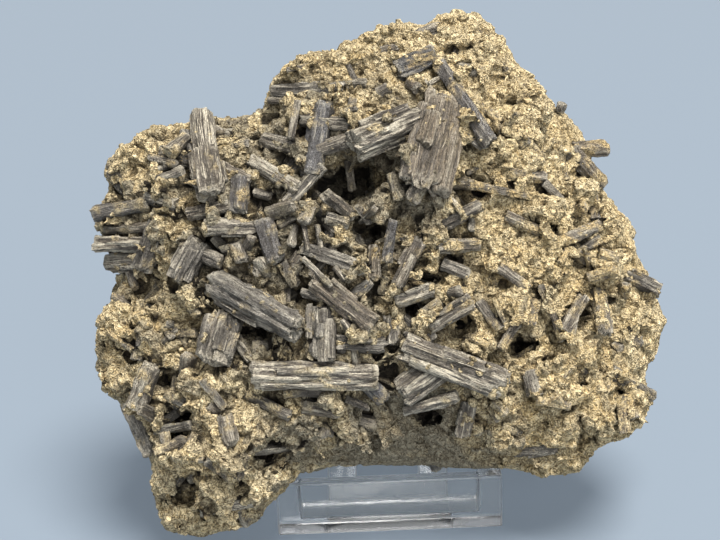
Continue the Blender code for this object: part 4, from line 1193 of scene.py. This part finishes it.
def crystal_material(settings):
    """Streaked crystal, grey to brown, with painted highlight on its ridges, painted shade in its grooves and
    shut-in places, dark splits and crust in patches.
    """
    made = Material("crystal")
    dark, pale = tuple(settings.crystal_dark), tuple(settings.crystal_pale)
    spot = made.place()
    grain = made.new("UVMap")
    grain.uv_map = "grain"
    fibres = []
    for around, along in ((2900, 170), (1450, 90), (5600, 380)):
        fibres.append(made.cloud(made.mapped(grain.outputs[0], (around, along, 1)), 1.0, 4))
    broad, speckle = made.cloud(spot, 260, 4), made.cloud(spot, 1300)
    streak = made.stretch(made.add(*fibres), 1.22, 1.78, -0.75, 0.75)
    gloss = made.attribute("gloss")
    # Painted highlight on ridges and painted shade in grooves, from the relief, with the fibres' streaks.
    tone = made.add(made.times(made.attribute("ridge"), 0.6), streak)
    tone = made.times(tone, made.stretch(gloss, 0.4, 1, 1, 0.6))

    grey = made.blend(made.stretch(broad, 0.35, 0.65, 0.3, 1), dark, tuple(settings.crystal_grey))
    grey = made.blend(made.stretch(gloss, 0.5, 1), grey, tuple(settings.crystal_blue))
    colour = made.blend(made.attribute("brown"), grey, tuple(settings.crystal_brown))
    paleness = made.attribute("pale")
    # Pale streaks, with a painted highlight on the ridges.
    lit = made.add(tone, made.stretch(paleness, 0, 1, -0.12, 0.16))
    lights = made.times(made.stretch(lit, 0.0, 0.4), made.stretch(paleness, 0, 1, 0.3, 1))
    colour = made.blend(lights, colour, pale)
    # Dark splits, and painted shade in the grooves and chips.
    splits = made.stretch(made.vein(fibres[0]), 0.035, 0.008, 0, 0.75)
    colour = made.blend(made.larger(made.stretch(tone, -0.1, -0.5, 0, 0.8), splits), colour, dark)
    rim = made.times(made.stretch(made.attribute("end"), 0.3, 1), made.stretch(speckle, 0.4, 0.6))
    colour = made.blend(made.times(rim, 0.6), colour, pale)
    # Painted shade in shut-in places.
    shut = made.stretch(made.attribute("cavity"), 0.4, 0.82, 0, 0.95)
    colour = made.blend(shut, colour, tuple(settings.deep))

    patches = made.stretch(made.add(speckle, made.times(streak, 0.2)), 0.31, 0.46)
    coat = made.times(made.attribute("coat"), patches)
    crust, height = made.crust(settings)
    sheen = made.stretch(gloss, 0, 1, 0.52, 0.28)
    return made.finish(
        Base_Color=made.blend(coat, colour, crust),
        Roughness=made.add(sheen, made.times(coat, 0.5)),
        Specular_IOR_Level=0.45,
        Normal=made.bump(height, 0.5 * MM, made.bump(streak, 0.6 * MM)),
    )


def acrylic_material(settings):
    """Clear acrylic with a little haze, sawn edges and fine scratches."""
    made = Material("acrylic")
    haze = made.stretch(made.cloud(made.place(), 110, 5, 0.75), 0.48, 0.66, 0.02, 0.16)
    scratches = made.cloud(made.mapped(made.place(), (220, 900, 2600)), 1.0, 2)
    return made.finish(
        Base_Color=tuple(settings.clear),
        Roughness=made.add(haze, made.times(made.attribute("edge"), 0.3)),
        Normal=made.bump(scratches, 0.02 * MM),
        IOR=settings.refraction,
        Transmission_Weight=1.0,
    )


# ---------------------------------------------------------------- easel


def bevelled_copy(node, name, width):
    """A copy of an easel piece with its edges eased."""
    made = merged_copy(node, name, flatten=True)
    ease = made.modifiers.new("ease", "BEVEL")
    ease.width = width
    ease.segments = 3
    ease.limit_method = "ANGLE"
    ease.harden_normals = False
    apply_modifiers(made)
    smooth(made, EASEL_SMOOTH)
    spans = [
        min((made.data.vertices[a].co - made.data.vertices[b].co).length for a, b in polygon.edge_keys)
        for polygon in made.data.polygons
    ]
    store(made.data, "edge", [float(span < width) for span in spans], "FACE")
    return made


# ---------------------------------------------------------------- stage


def build_floor(stage):
    bpy.ops.mesh.primitive_plane_add(size=FLOOR_SIZE, location=(0, 0, -FLOOR_GAP * MM))
    floor = bpy.context.object
    floor.name = "floor"
    colour, glow = tuple(stage.floor), tuple(stage.floor_glow)
    surface = Material("floor")
    surface.finish(Base_Color=colour, Roughness=0.6, Emission_Color=glow, Emission_Strength=1.0)
    floor.data.materials.append(surface.material)


def soft_world(stage):
    world = bpy.data.worlds.new("soft light")
    world.use_nodes = True
    background = world.node_tree.nodes["Background"].inputs
    background["Color"].default_value = (*stage.sky, 1)
    background["Strength"].default_value = stage.sky_strength
    return world


def add_light(kind, name, spot, tint, energy):
    """A light that shines from spot at the origin."""
    bpy.ops.object.light_add(type=kind, location=spot)
    made = bpy.context.object
    made.name = name
    made.data.energy = energy
    made.data.color = tint
    made.rotation_euler = (-made.location).to_track_quat("-Z", "Y").to_euler()
    return made.data


def add_camera(lens):
    """The camera in front of the face's middle, turned and rolled with the face."""
    bpy.ops.object.camera_add()
    camera = bpy.context.object
    camera.name = "camera"
    camera.data.lens = lens
    camera.data.clip_start = CAMERA_NEAR
    columns = np.column_stack((RIGHT, UP, OUT, FACE_MIDDLE + OUT * VIEW_DISTANCE * MM))
    camera.matrix_world = Matrix((*columns.tolist(), (0, 0, 0, 1)))
    return camera


# ---------------------------------------------------------------- settings


class StoneSettings(bpy.types.PropertyGroup):
    """Sizes and colours of the stone."""

    front_voxel: FloatProperty(
        name="Face Grain", description="Size of the crust's smallest modelled grain on the face",
        default=0.45 * MM, precision=5, unit="LENGTH",
    )
    back_voxel: FloatProperty(
        name="Back Grain", description="Size of the crust's smallest modelled grain on the back",
        default=0.62 * MM, precision=5, unit="LENGTH",
    )
    lump_relief: FloatProperty(
        name="Lumps", description="Height of the crust's broad lumps",
        default=1.2 * MM, precision=5, unit="LENGTH",
    )
    pebble_relief: FloatProperty(
        name="Pebbles", description="Height of the crust's pebbles",
        default=0.9 * MM, precision=5, unit="LENGTH",
    )
    grain_relief: FloatProperty(
        name="Grains", description="Height of the crust's grains",
        default=0.55 * MM, precision=5, unit="LENGTH",
    )
    face_triangles: IntProperty(
        name="Face Triangles", description="Triangles of the face's crust", default=378000
    )
    back_triangles: IntProperty(name="Back Triangles", description="Triangles of the back", default=120000)
    cavity_reach: FloatProperty(
        name="Cavity Reach", description="How far off something has to be for a place to be open",
        default=8.0 * MM, precision=5, unit="LENGTH",
    )
    lath_count: IntProperty(
        name="Lath Count", description="Crusted laths in each side of the matrix, at most", default=620
    )
    lump_count: IntProperty(
        name="Lump Count", description="Crusted lumps in each side of the matrix, at most", default=420
    )
    sliver_count: IntProperty(
        name="Slivers", description="Spots tried for small crystals on each side; one in six or so is kept",
        default=1700,
    )
    crumb_count: IntProperty(name="Crumbs", description="Loose crumbs on the face, at most", default=4600)
    back_crumb_count: IntProperty(
        name="Back Crumbs", description="Loose crumbs on the back, at most", default=900
    )
    crystal_crumb_count: IntProperty(
        name="Crystal Crumbs", description="Loose crumbs on the crystals, at most", default=500
    )
    # Cream is the pale crust's colour, and also the painted highlight of raised bumps.
    cream: FloatVectorProperty(
        name="Cream", description="Raised crust", subtype="COLOR", default=(0.92, 0.765, 0.475)
    )
    tan: FloatVectorProperty(name="Tan", description="Crust", subtype="COLOR", default=(0.58, 0.435, 0.22))
    ochre: FloatVectorProperty(
        name="Ochre", description="Iron stained crust", subtype="COLOR", default=(0.75, 0.545, 0.25)
    )
    grey: FloatVectorProperty(
        name="Grey", description="Grey crust", subtype="COLOR", default=(0.31, 0.28, 0.21)
    )
    # The colour of dark pores and cracks, and the painted shade of the crust's hollows.
    dirt: FloatVectorProperty(
        name="Dirt", description="Hollows", subtype="COLOR", default=(0.095, 0.07, 0.04)
    )
    # The painted shade of clefts and shut-in places.
    deep: FloatVectorProperty(
        name="Deep", description="Clefts", subtype="COLOR", default=(0.018, 0.014, 0.01)
    )
    # Dark laths and splits, and the painted shade of grooves and chips.
    crystal_dark: FloatVectorProperty(
        name="Dark Crystal", description="Crystals' dark laths",
        subtype="COLOR", default=(0.062, 0.054, 0.044),
    )
    crystal_grey: FloatVectorProperty(
        name="Grey Crystal", description="Crystals' light laths",
        subtype="COLOR", default=(0.41, 0.375, 0.315),
    )
    crystal_blue: FloatVectorProperty(
        name="Glassy Crystal", description="Glassy crystals", subtype="COLOR", default=(0.125, 0.125, 0.13)
    )
    crystal_brown: FloatVectorProperty(
        name="Brown Crystal", description="Stained crystals", subtype="COLOR", default=(0.28, 0.22, 0.15)
    )
    # Bright streaks and pale ends, and the painted highlight of ridges.
    crystal_pale: FloatVectorProperty(
        name="Pale Crystal", description="Crystals' bright streaks",
        subtype="COLOR", default=(0.78, 0.7, 0.54),
    )


class EaselSettings(bpy.types.PropertyGroup):
    """Sizes and colours of the easel."""

    ease: FloatProperty(
        name="Edge", description="Width of the eased edges", default=0.5 * MM, precision=5, unit="LENGTH"
    )
    refraction: FloatProperty(
        name="Refraction", description="Index of refraction of the acrylic", default=1.49
    )
    clear: FloatVectorProperty(
        name="Tint", description="Acrylic tint", subtype="COLOR", default=(0.92, 0.905, 0.88)
    )


class StageSettings(bpy.types.PropertyGroup):
    """The floor, the lights and the camera."""

    floor: FloatVectorProperty(
        name="Floor", description="Floor colour", subtype="COLOR", default=(0.124, 0.151, 0.182)
    )
    floor_glow: FloatVectorProperty(
        name="Floor Glow", description="Light through the floor",
        subtype="COLOR", default=(0.108, 0.132, 0.16),
    )
    sky: FloatVectorProperty(
        name="Sky", description="Soft light all round", subtype="COLOR", default=(0.72, 0.77, 0.84)
    )
    sky_strength: FloatProperty(
        name="Sky Strength", description="Strength of the light all round", default=0.4
    )
    key_strength: FloatProperty(name="Key", description="Strength of the main light", default=7.1)
    key_softness: FloatProperty(
        name="Key Softness", description="Angle that the main light spans",
        default=math.radians(28), unit="ROTATION",
    )
    fill_power: FloatProperty(
        name="Fill", description="Power of the low front light", default=15, unit="POWER"
    )
    lens: FloatProperty(name="Lens", description="Focal length", default=65, unit="CAMERA")


# ---------------------------------------------------------------- operators


class ARAGONITE_OT_crust(bpy.types.Operator):
    """Build the crusted matrix, face and back"""

    bl_idname = "aragonite.crust"
    bl_label = "Crust"

    def execute(self, context):
        stone = context.scene.stone
        material = crust_material("crust", stone)
        face = build_crust(stone, FACE_CUT, "face", stone.front_voxel)
        back = build_crust(stone, BACK_CUT, "back", stone.back_voxel)
        budgets = (stone.face_triangles, stone.back_triangles)
        for piece, name, budget in zip((face, back), CRUSTS, budgets):
            thin_out(piece, budget)
            finish_crust(piece, name)
            piece.data.materials.append(material)
        return {"FINISHED"}


class ARAGONITE_OT_crystals(bpy.types.Operator):
    """Build the named crystals and the slivers between them"""

    bl_idname = "aragonite.crystals"
    bl_label = "Crystals"

    def execute(self, context):
        stone = context.scene.stone
        material = crystal_material(stone)
        crusts = [bpy.data.objects[name] for name in CRUSTS]
        pieces = [build_named_crystals(), build_slivers(stone, crusts)]
        mark_cavities([*crusts, *pieces], stone)
        for piece in pieces:
            mark_zones(piece.data)
            piece.data.materials.append(material)
            smooth(piece, CRYSTAL_SMOOTH)
            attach(piece, "root")
        return {"FINISHED"}


class ARAGONITE_OT_crumbs(bpy.types.Operator):
    """Strew loose crumbs over the crust"""

    bl_idname = "aragonite.crumbs"
    bl_label = "Crumbs"

    def execute(self, context):
        stone = context.scene.stone
        hosts = [bpy.data.objects[name] for name in (*CRUSTS, "aragonite_crystals")]
        counts = (stone.crumb_count, stone.back_crumb_count, stone.crystal_crumb_count)
        piece = build_crumbs("aragonite_crumbs", hosts, counts, np.random.default_rng(SEEDS["crumbs"]))
        piece.data.materials.append(crust_material("crumbs", stone))
        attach(piece, "root")
        return {"FINISHED"}


class ARAGONITE_OT_seam(bpy.types.Operator):
    """Part the face's crust in two and make all the crust part of the specimen"""

    bl_idname = "aragonite.seam"
    bl_label = "Seam"

    def execute(self, context):
        left, back = [bpy.data.objects[name] for name in CRUSTS]
        right = left.copy()
        right.data = left.data.copy()
        context.scene.collection.objects.link(right)
        middle = FACE_MIDDLE + RIGHT * FACE_SEAM * MM
        for piece, side, away in ((left, "left", -RIGHT), (right, "right", RIGHT)):
            cut_away(piece, middle, away)
            piece.name = piece.data.name = "aragonite_crust_" + side
        for piece in (left, right, back):
            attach(piece, "root")
            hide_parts("aragonite")
        return {"FINISHED"}


class ARAGONITE_OT_easel(bpy.types.Operator):
    """Build the clear easel"""

    bl_idname = "aragonite.easel"
    bl_label = "Easel"

    def execute(self, context):
        easel = context.scene.easel
        material = acrylic_material(easel)
        for node, name in (("stand_tray", "easel_tray"), ("stand_back", "easel_back")):
            piece = bevelled_copy(node, name, easel.ease)
            piece.data.materials.append(material)
            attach(piece, "root")
            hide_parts(node)
            piece.visible_shadow = False
        return {"FINISHED"}


class ARAGONITE_OT_stage(bpy.types.Operator):
    """Set up the floor, the lights and the camera"""

    bl_idname = "aragonite.stage"
    bl_label = "Stage"

    def execute(self, context):
        stage, scene = context.scene.stage, context.scene
        deselect_all()
        build_floor(stage)
        scene.world = soft_world(stage)
        key = add_light("SUN", "key", KEY_FROM, KEY_TINT, stage.key_strength)
        key.angle = stage.key_softness
        fill = add_light("AREA", "fill", FILL_SPOT, FILL_TINT, stage.fill_power)
        fill.size = FILL_SIZE
        scene.camera = add_camera(stage.lens)
        scene.view_settings.view_transform = "Standard"
        return {"FINISHED"}


class ARAGONITE_PT_panel(bpy.types.Panel):
    """The specimen's pieces and sizes"""

    bl_idname = "ARAGONITE_PT_panel"
    bl_label = "Aragonite"
    bl_space_type = "VIEW_3D"
    bl_region_type = "UI"
    bl_category = "Aragonite"

    def draw(self, context):
        layout = self.layout
        for operator in OPERATORS:
            layout.operator(operator.bl_idname)
        for group in (context.scene.stone, context.scene.easel, context.scene.stage):
            box = layout.box()
            for name in group.__annotations__:
                box.prop(group, name)


OPERATORS = (
    ARAGONITE_OT_crust, ARAGONITE_OT_crystals, ARAGONITE_OT_crumbs, ARAGONITE_OT_seam, ARAGONITE_OT_easel,
    ARAGONITE_OT_stage,
)
SETTINGS = (("stone", StoneSettings), ("easel", EaselSettings), ("stage", StageSettings))


def register():
    for name, group in SETTINGS:
        bpy.utils.register_class(group)
        setattr(bpy.types.Scene, name, PointerProperty(type=group))
    for item in (*OPERATORS, ARAGONITE_PT_panel):
        bpy.utils.register_class(item)


def unregister():
    for item in reversed((*OPERATORS, ARAGONITE_PT_panel)):
        bpy.utils.unregister_class(item)
    for name, group in reversed(SETTINGS):
        delattr(bpy.types.Scene, name)
        bpy.utils.unregister_class(group)


def main():
    register()
    for operator in (
        bpy.ops.aragonite.crust,
        bpy.ops.aragonite.crystals,
        bpy.ops.aragonite.crumbs,
        bpy.ops.aragonite.seam,
        bpy.ops.aragonite.easel,
        bpy.ops.aragonite.stage,
    ):
        operator()


if __name__ == "__main__":
    main()
